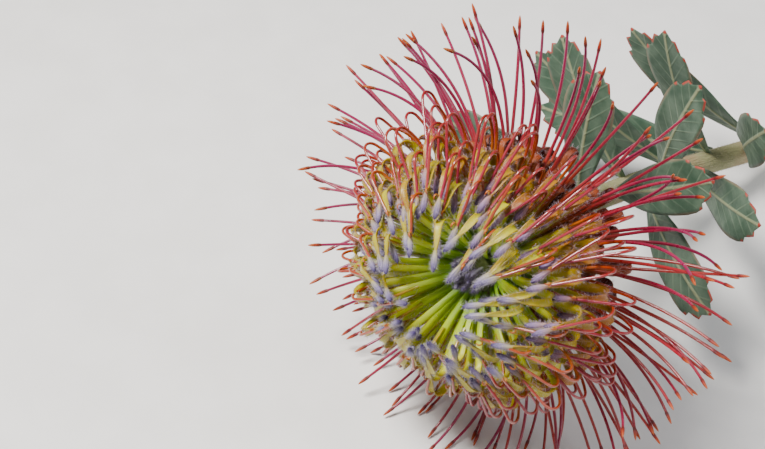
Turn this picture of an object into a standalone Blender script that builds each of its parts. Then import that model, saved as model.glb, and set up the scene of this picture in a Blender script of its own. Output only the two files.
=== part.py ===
"""A cut pincushion flower: one round head on a leafy stem, lying on a flat surface.

The head's closed florets are crooks with a looped style, its open florets are long bare styles.
Lengths are in millimetres, and new_object turns them to metres.
"""

import math
from collections import namedtuple

import bmesh
import bpy
import numpy as np

MM = 0.001
GAP = 0.3
SEED = 11
GOLDEN_TURN = math.radians(137.5078)

# Where the head lies: the centre of its base, and how far its axis points up from the surface
HEAD_AT = np.array([-0.34, -49.06, 51.8])
AXIS_RISE = math.radians(18)

# The domed core that all florets grow from, split between the closed and the open ones
CORE_RADIUS = 11.0
CORE_HEIGHT = 22.0
CORE_SIDES = 16
BUD_COUNT = 10
CLOSED_COUNT = 50
OPEN_COUNT = 52
CLOSED_EDGE = 0.70
SPLIT = 0.73
SPLIT_MARGIN = 0.007
OPEN_EDGE = 0.76
LAST_OPEN = 0.97
ROOT_DEPTH = 2.0
AZIMUTH_JITTER = math.radians(2)
HEADING_JITTER = math.radians(3)

# Young buds at the top of the head
BUD_LENGTH = 5.0
BUD_WIDTHS = (1.1, 1.1, 1.2, 1.5, 0.8)
BUD_TOP_HEADING = math.radians(6)
BUD_FAN = math.radians(-60)

# Closed florets: a ribbon-like claw bent into a crook, with a hairy limb at its end
CLAW_HEADING = (math.radians(46), math.radians(94))
CLAW_ARCH = math.radians(24)
CLAW_RISE = (17.0, 23.5)
CLAW_BEND_RADIUS = 3.9
CLAW_RETURN = 5.0
CLAW_WIDTH = 2.5
CLAW_THICK = 0.9
NECK_WIDTH = 1.2
LIMB_HEADING = (math.radians(-57), math.radians(-52))
LIMB_LENGTH = 5.6
LIMB_WIDTH = 1.8
RISE_JITTER = 0.08
LIMB_JITTER = math.radians(13)
ROLL_JITTER = math.radians(8)

# The closed floret's style: out of the claw's slit, round a hairpin and back into the limb
STYLE_RADIUS = 0.5
SLIT_SHARE = (0.68, 0.36)
SLIT_TILT = math.radians(4)
SPOKE_LENGTH = (9.5, 14.5)
SPOKE_JITTER = 0.2
SPOKE_TILT = math.radians(12)
HAIRPIN_RADIUS = (2.0, 3.6)
HAIRPIN_TURN = math.radians(130)
LOOP_SWAY = 1.3
NECK_OVERLAP = 1.5

# The side of the head that opened first; elsewhere loops are shorter and limbs bend further in
OPEN_SIDE = math.radians(60)
OPEN_SIDE_GAIN = (0.45, 1.05)
SHUT_SIDE_BEND = math.radians(-26)

# Open florets: a long bare style with a slim pointed tip, and the crook rolled back below it
OPEN_HEADING = (math.radians(98), math.radians(112))
OPEN_STYLE_LENGTH = 54.0
OPEN_LENGTH_JITTER = 0.03
STRAIGHT_FOOT = 8.0
INCURVE = math.radians(40)
INCURVE_JITTER = 0.5
OPEN_SWAY = 5.0
OPEN_ROLL_JITTER = math.radians(10)
TIP_LENGTH = 3.8
TIP_WIDTHS = (1.24, 1.1, 0.35)
CURL_ALONG = (11.0, 19.0)
CURL_RADIUS = 2.4
CURL_TURN = (math.radians(225), math.radians(305))
CURL_OFFSET = 0.35
CURL_WIDTHS = (1.9, 2.4, 2.4, 2.4, 2.2, 1.7)
CURL_THICK = 0.8

# An open floret is turned aside by the first of these turns, and leaned back, until it has room
ROOM = GAP + 0.15
ASIDE_TURNS = [math.radians(1.5 * turn) for turn in (0, 1, -1, 2, -2, 3, -3, 4, -4, 5, -5, 6, -6)]
LEAN_TURNS = [math.radians(4 * turn) for turn in range(7)]
EXTRA_BENDS = [math.radians(0.25 * turn) for turn in range(360)]

# A cup of small overlapping bracts under the core
CUP_DEPTH = 9.0
CUP_FOOT_RADIUS = 4.2
CUP_TOP_RADIUS = CORE_RADIUS - 0.4
CUP_SIDES = 12
BRACT_COUNT = 16
BRACT_FOOT = (0.95, 0.70)
BRACT_TIP = (0.55, 0.17)
BRACT_SUNK = 0.8
BRACT_FLARE = 1.5
BRACT_BULGE = np.array([0.9, -0.5])
BRACT_WIDTHS = (4.5, 6.4, 5.4, 0.8)
BRACT_THICK = 0.8

# The stem, from the cup to its cut end on the surface
STEM_RADIUS = 3.5
STEM_END_OFFSET = np.array([30.0, 143.0])
STEM_END_HEADING = np.array([0.36, 0.92, -0.15])
STEM_HANDLE = 45.0
STEM_STEPS = 14
STEM_SIDES = 12

# Leaves, turned up round the stem from the side that lies on the surface
LEAF_COUNT = 12
LEAF_FIRST = 22.0
LEAF_STEP = 7.8
LEAF_LENGTH = (44.0, 56.0)
LEAF_HALF_WIDTH = 7.8
LEAF_THICK = 0.8
LEAF_TURN_SHARE = 0.6
LEAF_SPREAD = (math.radians(76), math.radians(46))
LEAF_RECURVE = math.radians(24)
LEAF_FOLD = 0.12
LEAF_STEPS = 24
# Where a cross line leaves the midrib, where it meets the toothed edge, and its half width
LEAF_STATIONS = [
    (0.0, 0.0, 0.2),
    (0.12, 0.12, 0.34),
    (0.32, 0.32, 0.72),
    (0.55, 0.55, 0.98),
    (0.74, 0.74, 1.0),
    (0.84, 0.87, 0.86),
    (0.868, 0.872, 0.68),
    (0.885, 0.955, 0.5),
    (0.93, 0.95, 0.3),
]

# Colours and roughness of the nodes
CLOSED_LOOK = ((0.62, 0.58, 0.13), 0.55)
OPEN_LOOK = ((0.62, 0.10, 0.10), 0.45)
CUP_LOOK = ((0.42, 0.38, 0.20), 0.8)
STEM_LOOK = ((0.36, 0.36, 0.19), 0.7)
LEAF_LOOK = ((0.16, 0.24, 0.19), 0.6)

AXIS = np.array([0.0, -math.cos(AXIS_RISE), math.sin(AXIS_RISE)])
ACROSS = np.array([1.0, 0.0, 0.0])
UPWARD = np.cross(AXIS, ACROSS)
RIBBON = [(1, 1), (-1, 1), (-1, -1), (1, -1)]

# A path with the direction of its width, and its width and thickness at each point
Strand = namedtuple("Strand", "points side widths thicks")


def unit(vector):
    return vector / np.linalg.norm(vector)


def blend(pair, share):
    return pair[0] + (pair[1] - pair[0]) * share


def bezier(handles, at):
    first, second, third, fourth = handles
    rest = 1 - at
    return rest**3 * first + 3 * rest**2 * at * second + 3 * rest * at**2 * third + at**3 * fourth


def round_corners(count):
    angles = [2 * math.pi * index / count for index in range(count)]
    return [(math.cos(angle), math.sin(angle)) for angle in angles]


def step_along(heading):
    """A step of 1 in a radial plane. A heading is the angle from the head's axis."""
    return np.array([math.sin(heading), math.cos(heading)])


def trail(start, heading, runs):
    """Walk in a radial plane; each run has a length, a turn and a count of steps."""
    points = [np.array(start, float)]
    headings = [heading]
    for length, turn, steps in runs:
        for _ in range(steps):
            middle = headings[-1] + turn / steps / 2
            points.append(points[-1] + step_along(middle) * length / steps)
            headings.append(headings[-1] + turn / steps)
    return np.array(points), headings


def radial_at(azimuth):
    return math.cos(azimuth) * ACROSS + math.sin(azimuth) * UPWARD


def turned(vectors, spindle, angle):
    along = (vectors @ spindle)[..., None] * spindle
    across = np.cross(spindle, vectors)
    return vectors * math.cos(angle) + across * math.sin(angle) + along * (1 - math.cos(angle))


def placed(points, azimuth, foot, heading, roll):
    """Radial-plane points in the world, rolled about the line that leaves the foot."""
    radial = radial_at(azimuth)
    side = np.cross(AXIS, radial)
    world = HEAD_AT + points[:, :1] * radial + points[:, 1:] * AXIS
    pivot = HEAD_AT + foot[0] * radial + foot[1] * AXIS
    spindle = math.sin(heading) * radial + math.cos(heading) * AXIS
    return pivot + turned(world - pivot, spindle, roll), turned(side, spindle, roll)


def sweep(strand, corners):
    """A closed tube: a ring of corner points about each point of a strand, with flat ends."""
    tangents = np.gradient(strand.points, axis=0)
    normals = np.cross(tangents, strand.side)
    normals /= np.linalg.norm(normals, axis=1)[:, None]
    half_widths = np.broadcast_to(strand.widths, len(strand.points)) / 2
    half_thicks = np.broadcast_to(strand.thicks, len(strand.points)) / 2
    lines = []
    for across, over in corners:
        aside = strand.side * (across * half_widths)[:, None]
        lines.append(strand.points + aside + normals * (over * half_thicks)[:, None])
    count = len(corners)
    points = np.stack(lines, axis=1).reshape(-1, 3)
    return points, tube_faces(len(strand.points), count)


def tube_faces(rings, count):
    faces = [list(range(count))[::-1]]
    for ring in range(rings - 1):
        near, far = ring * count, (ring + 1) * count
        for corner in range(count):
            following = (corner + 1) % count
            faces.append([near + corner, near + following, far + following, far + corner])
    faces.append(list(range((rings - 1) * count, rings * count)))
    return faces


def turned_solid(profile, side_count):
    """A solid turned about the head's axis from radius and height, given from base to top."""
    points = []
    for radius, height in profile:
        for index in range(side_count):
            radial = radial_at(2 * math.pi * index / side_count)
            points.append(HEAD_AT + radius * radial + height * AXIS)
    return np.array(points), tube_faces(len(profile), side_count)


def core_point(share):
    """Radius and height on the core, from its top (0) to its base (1)."""
    angle = share * math.pi / 2
    return np.array([CORE_RADIUS * math.sin(angle) ** 0.9, CORE_HEIGHT * math.cos(angle)])


def core_slice(base_share, top_share, rings):
    profile = [core_point(share) for share in np.linspace(base_share, top_share, rings)]
    return turned_solid(profile, CORE_SIDES)


def place_share(index):
    """How far down the core floret number index grows: 0 at the top, 1 at the base."""
    total = BUD_COUNT + CLOSED_COUNT + OPEN_COUNT
    even = math.sqrt((index + 0.5) / total)
    last_closed = math.sqrt((BUD_COUNT + CLOSED_COUNT) / total)
    if even < last_closed:
        return even * CLOSED_EDGE / last_closed
    return OPEN_EDGE + (LAST_OPEN - OPEN_EDGE) * (even - last_closed) / (1 - last_closed)


def bud(share, azimuth, jitter):
    """One young bud, upright at the top of the head."""
    heading = BUD_TOP_HEADING + BUD_FAN * share + HEADING_JITTER * jitter[0]
    start = core_point(share) - ROOT_DEPTH * step_along(heading)
    length = BUD_LENGTH * (0.85 + share + 0.06 * jitter[1])
    points, _ = trail(start, heading, [(ROOT_DEPTH + length, -0.8 * heading, len(BUD_WIDTHS) - 1)])
    world, side = placed(points, azimuth, start, heading, 0)
    return Strand(world, side, BUD_WIDTHS, BUD_WIDTHS)


def openness(azimuth):
    """1 on the side of the head that opened first, and 0 on the other."""
    return 0.5 + 0.5 * math.cos(azimuth - OPEN_SIDE)


def travelled_shares(points):
    """How far along a path each of its points is: 0 at its start, 1 at its end."""
    steps = np.linalg.norm(np.diff(points, axis=0), axis=1)
    return (np.concatenate([[0], np.cumsum(steps)]) / steps.sum())[:, None]


def closed_floret(share, azimuth, jitter):
    """One closed floret: its crook, and its style's loop outside the crook."""
    youngest = place_share(BUD_COUNT)
    age = (share - youngest) / (CLOSED_EDGE - youngest)
    heading = blend(CLAW_HEADING, age**0.9) + HEADING_JITTER * jitter[0]
    end_heading = blend(LIMB_HEADING, age) + LIMB_JITTER * jitter[1]
    end_heading += SHUT_SIDE_BEND * age * (1 - openness(azimuth))
    rise = blend(CLAW_RISE, min(1.0, 2 * age)) * (1 + RISE_JITTER * jitter[2])
    foot = core_point(share)
    first_heading = heading - CLAW_ARCH / 2
    start = foot - ROOT_DEPTH * step_along(first_heading)
    turn = end_heading - heading - CLAW_ARCH / 2
    runs = [
        (ROOT_DEPTH + rise, CLAW_ARCH, 2),
        (CLAW_BEND_RADIUS * abs(turn), turn, 3),
        (CLAW_RETURN, 0, 1),
        (LIMB_LENGTH, 0, 3),
    ]
    crook, _ = trail(start, first_heading, runs)
    widths = [CLAW_WIDTH] * 5 + [0.75 * CLAW_WIDTH, NECK_WIDTH, LIMB_WIDTH, LIMB_WIDTH, 0.5 * LIMB_WIDTH]
    thicks = [CLAW_THICK] * 6 + [NECK_WIDTH, LIMB_WIDTH, LIMB_WIDTH, 0.5 * LIMB_WIDTH]

    neck = crook[-4]
    spoke_length = blend(SPOKE_LENGTH, age) * (1 + SPOKE_JITTER * jitter[3])
    spoke_length *= blend(OPEN_SIDE_GAIN, openness(azimuth))
    radius = blend(HAIRPIN_RADIUS, 0.25 + 0.5 * openness(azimuth) + 0.25 * jitter[2])
    slit = foot + blend(SLIT_SHARE, age) * rise * step_along(first_heading + CLAW_ARCH / 4)
    spoke_heading = end_heading - SPOKE_TILT
    loop = style_loop(slit, heading + SLIT_TILT, neck, spoke_heading, spoke_length, radius)
    inside_limb = neck + NECK_OVERLAP * step_along(end_heading)

    roll = ROLL_JITTER * jitter[4]
    crook_world, side = placed(crook, azimuth, start, heading, roll)
    loop_world, _ = placed(np.vstack([loop, inside_limb]), azimuth, start, heading, roll)
    loop_world += LOOP_SWAY * jitter[3] * np.sin(math.pi * travelled_shares(loop_world)) * side
    thread = 2 * STYLE_RADIUS
    return Strand(crook_world, side, widths, thicks), Strand(loop_world, side, thread, thread)


def style_loop(slit, slit_heading, neck, spoke_heading, spoke_length, radius):
    """From the slit in a smooth bend, round the hairpin and to the far end of the straight spoke."""
    spoke = step_along(spoke_heading)
    outer = neck - spoke_length * spoke
    centre = outer + radius * np.array([-spoke[1], spoke[0]])
    hairpin = []
    for turn in (HAIRPIN_TURN, HAIRPIN_TURN / 2, 0):
        out_heading = spoke_heading + math.pi / 2 + turn
        hairpin.append(centre + radius * step_along(out_heading))
    reach = 0.4 * np.linalg.norm(hairpin[0] - slit)
    handles = (
        slit,
        slit + reach * step_along(slit_heading),
        hairpin[0] - reach * step_along(spoke_heading + HAIRPIN_TURN),
        hairpin[0],
    )
    bend = [bezier(handles, step / 3) for step in range(3)]
    return np.vstack(bend + hairpin)


def open_floret(share, azimuth, jitter, lean, extra_bend):
    """One open floret: its bare style with the slim tip, and its rolled-back crook."""
    age = (share - OPEN_EDGE) / (LAST_OPEN - OPEN_EDGE)
    heading = blend(OPEN_HEADING, age) + HEADING_JITTER * jitter[0] + lean
    start = core_point(share) - ROOT_DEPTH * step_along(heading)
    incurve = -(INCURVE * (1 + INCURVE_JITTER * jitter[1]) + extra_bend)
    bare = OPEN_STYLE_LENGTH * (1 + OPEN_LENGTH_JITTER * jitter[2]) - STRAIGHT_FOOT - TIP_LENGTH
    runs = [
        (ROOT_DEPTH + STRAIGHT_FOOT, 0, 1),
        (0.45 * bare, 0.25 * incurve, 2),
        (0.55 * bare, 0.75 * incurve, 3),
        (0.13 * TIP_LENGTH, 0, 1),
        (0.87 * TIP_LENGTH, 0, 2),
    ]
    style, _ = trail(start, heading, runs)
    widths = [2.2 * STYLE_RADIUS] * 7 + list(TIP_WIDTHS)
    roll = OPEN_ROLL_JITTER * jitter[3]
    style_world, side = placed(style, azimuth, start, heading, roll)
    style_world += OPEN_SWAY * jitter[4] * travelled_shares(style_world) ** 2 * side

    curl_share = 0.5 + 0.5 * jitter[4]
    turn = blend(CURL_TURN, curl_share)
    runs = [(ROOT_DEPTH + blend(CURL_ALONG, curl_share), 0, 1), (CURL_RADIUS * turn, turn, 4)]
    below = start + CURL_OFFSET * step_along(heading + math.pi / 2)
    curl, _ = trail(below, heading, runs)
    curl_world, _ = placed(curl, azimuth, start, heading, roll)
    return Strand(style_world, side, widths, widths), Strand(curl_world, side, CURL_WIDTHS, CURL_THICK)


def resting_floret(share, azimuth, jitter, lean):
    """An open floret whose style bends further where it would go through the surface."""
    for extra_bend in EXTRA_BENDS:
        style, curl = open_floret(share, azimuth, jitter, lean, extra_bend)
        if (style.points[:, 2] - 0.5 * np.array(style.widths)).min() > 0:
            return style, curl
    raise RuntimeError(f"the open floret at {share:.3f} goes through the surface")


def fitted_floret(share, azimuth, jitter, taken):
    """An open floret turned aside a little until it has room among the closed ones."""
    for lean in LEAN_TURNS:
        for aside in ASIDE_TURNS:
            style, curl = resting_floret(share, azimuth + aside, jitter, lean)
            if has_room(style, taken) and has_room(curl, taken):
                return style, curl
    raise RuntimeError(f"the open floret at {share:.3f} finds no room")


def dense(points, step=1.2):
    """The same path with points no further apart than the step."""
    pieces = []
    for first, second in zip(points[:-1], points[1:]):
        count = max(1, math.ceil(np.linalg.norm(second - first) / step))
        pieces += [first + (second - first) * index / count for index in range(count)]
    return np.array(pieces + [points[-1]])


def has_room(strand, taken):
    path = dense(strand.points)
    reach = np.max(strand.widths) / 2
    for others, other_reach in taken:
        apart = np.linalg.norm(path[:, None] - others[None], axis=2).min()
        if apart < reach + other_reach + ROOM:
            return False
    return True


def floret_solids():
    """The solids of the closed and the open florets, youngest at the top, by golden turns."""
    draws = np.random.default_rng(SEED)
    closed = [core_slice(SPLIT - SPLIT_MARGIN, 0.1, 7)]
    opened = [core_slice(1.0, SPLIT + SPLIT_MARGIN, 4)]
    taken = []
    for index in range(BUD_COUNT + CLOSED_COUNT + OPEN_COUNT):
        share = place_share(index)
        jitter = draws.uniform(-1, 1, 5)
        azimuth = index * GOLDEN_TURN + AZIMUTH_JITTER * draws.uniform(-1, 1)
        if index < BUD_COUNT:
            closed.append(sweep(bud(share, azimuth, jitter), RIBBON))
        elif index < BUD_COUNT + CLOSED_COUNT:
            crook, loop = closed_floret(share, azimuth, jitter)
            closed += [sweep(crook, RIBBON), sweep(loop, round_corners(3))]
            taken += [(dense(part.points), np.max(part.widths) / 2) for part in (crook, loop)]
        else:
            style, curl = fitted_floret(share, azimuth, jitter, taken)
            opened += [sweep(style, round_corners(3)), sweep(curl, RIBBON)]
    return closed, opened


def cup_radius(depth_share):
    return blend((CUP_TOP_RADIUS, CUP_FOOT_RADIUS), depth_share)


def cup_solids():
    """The cup's body and its bracts, in overlapping rows that end below the core's edge."""
    levels = ((1, 0), (0.5, 0.8), (0, 0))
    profile = [(cup_radius(depth) + bulge, -GAP - depth * CUP_DEPTH) for depth, bulge in levels]
    solids = [turned_solid(profile, CUP_SIDES)]
    for index in range(BRACT_COUNT):
        share = (index + 0.5) / BRACT_COUNT
        low, high = blend(BRACT_FOOT, share), blend(BRACT_TIP, share)
        foot = np.array([cup_radius(low) - BRACT_SUNK, -GAP - low * CUP_DEPTH])
        tip = np.array([cup_radius(high) + BRACT_FLARE, -GAP - high * CUP_DEPTH])
        middle = (foot + tip) / 2 + BRACT_BULGE
        steps = np.linspace(0, 1, len(BRACT_WIDTHS))
        curve = [(1 - at) ** 2 * foot + 2 * at * (1 - at) * middle + at**2 * tip for at in steps]
        world, side = placed(np.array(curve), index * GOLDEN_TURN, foot, 0, 0)
        solids.append(sweep(Strand(world, side, BRACT_WIDTHS, BRACT_THICK), RIBBON))
    return solids


def stem_line(steps):
    """Points down the middle of the stem, from the cup to the cut end."""
    start = HEAD_AT - (2 * GAP + CUP_DEPTH) * AXIS
    end = np.array([*(HEAD_AT[:2] + STEM_END_OFFSET), STEM_RADIUS])
    handles = (start, start - STEM_HANDLE * AXIS, end - STEM_HANDLE * unit(STEM_END_HEADING), end)
    return np.array([bezier(handles, step / steps) for step in range(steps + 1)])


def stem_solid():
    line = stem_line(STEM_STEPS)
    sides = np.cross(np.gradient(line, axis=0), np.array([0.0, 0.0, 1.0]))
    sides /= np.linalg.norm(sides, axis=1)[:, None]
    return sweep(Strand(line, sides, 2 * STEM_RADIUS, 2 * STEM_RADIUS), round_corners(STEM_SIDES))


def leaf_seat(index):
    """Where on the stem a leaf sits: the point, the way to the head and the way out."""
    line = stem_line(10 * STEM_STEPS)
    travelled = np.concatenate([[0], np.cumsum(np.linalg.norm(np.diff(line, axis=0), axis=1))])
    here = LEAF_FIRST + LEAF_STEP * index
    seat, ahead = [
        np.array([np.interp(distance, travelled, line[:, axis]) for axis in range(3)])
        for distance in (here, here - 1)
    ]
    forward = unit(ahead - seat)
    up = unit(np.array([0.0, 0.0, 1.0]) - forward[2] * forward)
    wrapped = (index * GOLDEN_TURN + math.pi) % (2 * math.pi) - math.pi
    around = LEAF_TURN_SHARE * wrapped
    return seat, forward, math.cos(around) * up + math.sin(around) * np.cross(forward, up)


def leaf_solid(index):
    """One toothed leaf, folded a little along its midrib, with its narrow base at the stem."""
    seat, forward, outward = leaf_seat(index)
    side = np.cross(outward, forward)
    share = index / (LEAF_COUNT - 1)
    spread = blend(LEAF_SPREAD, share)
    base = (STEM_RADIUS + GAP + 0.5 * LEAF_THICK * math.cos(spread), 0)
    run = (blend(LEAF_LENGTH, share), LEAF_RECURVE, LEAF_STEPS)
    path, headings = trail(base, spread - LEAF_RECURVE / 2, [run])
    along = np.linspace(0, 1, len(path))

    def on_blade(at, half_width, layer):
        heading = np.interp(at, along, headings)
        normal = math.cos(heading) * outward - math.sin(heading) * forward
        out, ahead = np.interp(at, along, path[:, 0]), np.interp(at, along, path[:, 1])
        middle = seat + out * outward + ahead * forward
        height = 0.5 * layer * LEAF_THICK - LEAF_FOLD * abs(half_width)
        return middle + half_width * side + height * normal

    points = []
    for layer in (1, -1):
        for middle_at, edge_at, width in LEAF_STATIONS:
            half_width = width * LEAF_HALF_WIDTH
            points.append(on_blade(middle_at, 0, layer))
            points.append(on_blade(edge_at, half_width, layer))
            points.append(on_blade(edge_at, -half_width, layer))
        points.append(on_blade(1, 0, layer))
    return np.array(points), leaf_faces(len(LEAF_STATIONS))


def leaf_faces(stations):
    """Triangles alike on both faces of the blade, and a wall round its edge."""
    layer_size = 3 * stations + 1
    apex = layer_size - 1
    last_middle = 3 * (stations - 1)
    sheet = [[last_middle, apex, last_middle + 1], [last_middle, last_middle + 2, apex]]
    for middle in range(0, last_middle, 3):
        far = middle + 3
        sheet += [[middle, far, far + 1], [middle, far + 1, middle + 1]]
        sheet += [[middle, far + 2, far], [middle, middle + 2, far + 2]]
    rim = [middle + 1 for middle in range(0, last_middle + 1, 3)] + [apex]
    rim += [middle + 2 for middle in range(last_middle, -1, -3)] + [0]
    faces = sheet + [[corner + layer_size for corner in triangle[::-1]] for triangle in sheet]
    for first, second in zip(rim, rim[1:] + rim[:1]):
        faces.append([first, second, second + layer_size])
        faces.append([first, second + layer_size, first + layer_size])
    return faces


def new_object(name, points, faces):
    mesh = bpy.data.meshes.new(name)
    mesh.from_pydata([tuple(point * MM) for point in points], [], faces)
    return bpy.data.objects.new(name, mesh)


def joined(body, others):
    """The body's mesh after one union with all the other solids."""
    repeats = bpy.data.collections.new("repeats")
    bpy.context.scene.collection.children.link(repeats)
    for points, faces in others:
        repeats.objects.link(new_object("repeat", points, faces))
    union = body.modifiers.new("Join repeats", "BOOLEAN")
    union.operation = "UNION"
    union.operand_type = "COLLECTION"
    union.collection = repeats
    mesh = bpy.data.meshes.new_from_object(body.evaluated_get(bpy.context.evaluated_depsgraph_get()))
    body.modifiers.remove(union)
    for repeat in list(repeats.objects):
        bpy.data.objects.remove(repeat)
    bpy.data.collections.remove(repeats)
    return mesh


def keep_outer_skin(mesh):
    """Fill what the union sealed off inside: only the largest skin of linked faces stays."""
    shape = bmesh.new()
    shape.from_mesh(mesh)
    skins = []
    unseen = set(shape.verts)
    while unseen:
        skin = set()
        edge_of_skin = {unseen.pop()}
        while edge_of_skin:
            skin |= edge_of_skin
            linked = {edge.other_vert(vert) for vert in edge_of_skin for edge in vert.link_edges}
            edge_of_skin = linked - skin
        unseen -= skin
        skins.append(skin)
    outer = max(skins, key=len)
    bmesh.ops.delete(shape, geom=[vert for vert in shape.verts if vert not in outer], context="VERTS")
    shape.to_mesh(mesh)
    shape.free()


def add_node(name, solids, look):
    """One node: the first solid with the others fused to it, in its own material."""
    body = new_object(name, *solids[0])
    bpy.context.scene.collection.objects.link(body)
    if len(solids) > 1:
        body.data = joined(body, solids[1:])
        keep_outer_skin(body.data)
    colour, roughness = look
    material = bpy.data.materials.new(name)
    material.use_nodes = True
    shader = material.node_tree.nodes["Principled BSDF"]
    shader.inputs["Base Color"].default_value = (*colour, 1)
    shader.inputs["Roughness"].default_value = roughness
    shader.inputs["Metallic"].default_value = 0
    body.data.materials.clear()
    body.data.materials.append(material)


def build():
    for item in list(bpy.data.objects):
        bpy.data.objects.remove(item)
    closed, opened = floret_solids()
    add_node("closed_florets", closed, CLOSED_LOOK)
    add_node("open_florets", opened, OPEN_LOOK)
    add_node("bract_cup", cup_solids(), CUP_LOOK)
    add_node("stem", [stem_solid()], STEM_LOOK)
    for index in range(LEAF_COUNT):
        add_node(f"leaf_{index + 1:02d}", [leaf_solid(index)], LEAF_LOOK)


build()
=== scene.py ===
"""Looks of a cut pincushion flower that lies on its side on a pale floor.

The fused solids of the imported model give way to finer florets, hairs, bracts, bark and leaves.
Lengths are millimetres and become metres where a mesh is made.
"""

import math

import bpy
import numpy as np
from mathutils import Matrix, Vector


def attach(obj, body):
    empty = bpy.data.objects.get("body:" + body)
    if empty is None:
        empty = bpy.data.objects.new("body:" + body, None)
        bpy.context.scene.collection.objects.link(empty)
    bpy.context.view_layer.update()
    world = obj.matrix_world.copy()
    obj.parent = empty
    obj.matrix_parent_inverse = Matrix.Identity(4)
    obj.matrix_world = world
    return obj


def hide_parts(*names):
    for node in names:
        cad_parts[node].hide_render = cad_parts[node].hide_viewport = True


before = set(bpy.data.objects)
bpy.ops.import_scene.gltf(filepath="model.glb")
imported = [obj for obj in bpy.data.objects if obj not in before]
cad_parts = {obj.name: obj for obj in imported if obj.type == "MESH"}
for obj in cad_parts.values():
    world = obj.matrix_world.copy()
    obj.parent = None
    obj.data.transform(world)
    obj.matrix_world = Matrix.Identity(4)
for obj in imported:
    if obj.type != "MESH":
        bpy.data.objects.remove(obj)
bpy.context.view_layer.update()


# View of the head
# The camera looks down on the head from its upper front, and the stem leads away to the right.
# The middle of the head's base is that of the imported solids.
MM = 0.001
HEAD_AT = np.array([-0.34, -49.06, 51.8])
VIEW_AZIMUTH = math.radians(30.67)
VIEW_ELEVATION = math.radians(46.38)
VIEW_DISTANCE = 600.0
FRAME_WIDTH = 204.0
FRAME_PIXELS = (765, 449)
HEAD_BASE_PIXEL = (516, 237)

to_camera = np.array([
    math.sin(VIEW_AZIMUTH) * math.cos(VIEW_ELEVATION),
    -math.cos(VIEW_AZIMUTH) * math.cos(VIEW_ELEVATION),
    math.sin(VIEW_ELEVATION),
])
view_right = np.array([math.cos(VIEW_AZIMUTH), math.sin(VIEW_AZIMUTH), 0])
view_up = np.cross(to_camera, view_right)
pixel = FRAME_WIDTH / FRAME_PIXELS[0]
right_of_centre = (HEAD_BASE_PIXEL[0] - FRAME_PIXELS[0] / 2) * pixel
above_centre = (FRAME_PIXELS[1] / 2 - HEAD_BASE_PIXEL[1]) * pixel
look_at = HEAD_AT - right_of_centre * view_right - above_centre * view_up
camera_at = HEAD_AT + VIEW_DISTANCE * to_camera
camera = bpy.data.objects.new("camera", bpy.data.cameras.new("camera"))
camera.location = camera_at * MM
camera.rotation_euler = Vector(look_at - camera_at).to_track_quat("-Z", "Y").to_euler()
camera.data.angle = 2 * math.atan(FRAME_WIDTH / 2 / VIEW_DISTANCE)
bpy.context.scene.collection.objects.link(camera)
bpy.context.scene.camera = camera


# Studio light
# A broad soft lamp stands on the upper left, and a wider and weaker one on the right.
# Both are discs that face the head, in a pale room that lifts the shadows.
def add_lamp(name, offset, size, watts, colour):
    lamp = bpy.data.objects.new(name, bpy.data.lights.new(name, "AREA"))
    lamp.data.shape = "DISK"
    lamp.data.size = size * MM
    lamp.data.energy = watts
    lamp.data.color = colour
    lamp.location = (HEAD_AT + offset) * MM
    lamp.rotation_euler = Vector(-offset).to_track_quat("-Z", "Y").to_euler()
    bpy.context.scene.collection.objects.link(lamp)


add_lamp("key lamp", 330 * view_up - 230 * view_right + 400 * to_camera, 200, 7.6, (1.0, 0.97, 0.93))
add_lamp("fill lamp", 420 * view_right + 150 * view_up + 250 * to_camera, 360, 1.3, (0.93, 0.96, 1.0))
room = bpy.data.worlds.new("room")
room.use_nodes = True
room.node_tree.nodes["Background"].inputs["Color"].default_value = (0.92, 0.94, 1.0, 1)
room.node_tree.nodes["Background"].inputs["Strength"].default_value = 0.25
bpy.context.scene.world = room


# Floor
# A plain pale sheet of paper under the flower, with a faint mottle.
# Its finish is the first made here, so the way that all finishes are wired stands in this section.
class Wire:
    """One output in a node tree; arithmetic on it adds Math or Vector Math nodes."""

    def __init__(self, graph, socket):
        self.graph = graph
        self.socket = socket

    def __getitem__(self, name):
        return Wire(self.graph, self.socket.node.outputs[name])

    def maths(self, operation, *values):
        wires = [value for value in values if isinstance(value, Wire)]
        is_vector = any(wire.socket.type == "VECTOR" for wire in wires)
        kind = "ShaderNodeVectorMath" if is_vector else "ShaderNodeMath"
        return self.graph.node(kind, {"operation": operation}, dict(enumerate(values)))

    def __add__(self, other):
        return self.maths("ADD", self, other)

    def __sub__(self, other):
        return self.maths("SUBTRACT", self, other)

    def __rsub__(self, other):
        return self.maths("SUBTRACT", other, self)

    def __mul__(self, other):
        return self.maths("MULTIPLY", self, other)

    def __pow__(self, other):
        return self.maths("POWER", self, other)

    __radd__ = __add__


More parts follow.
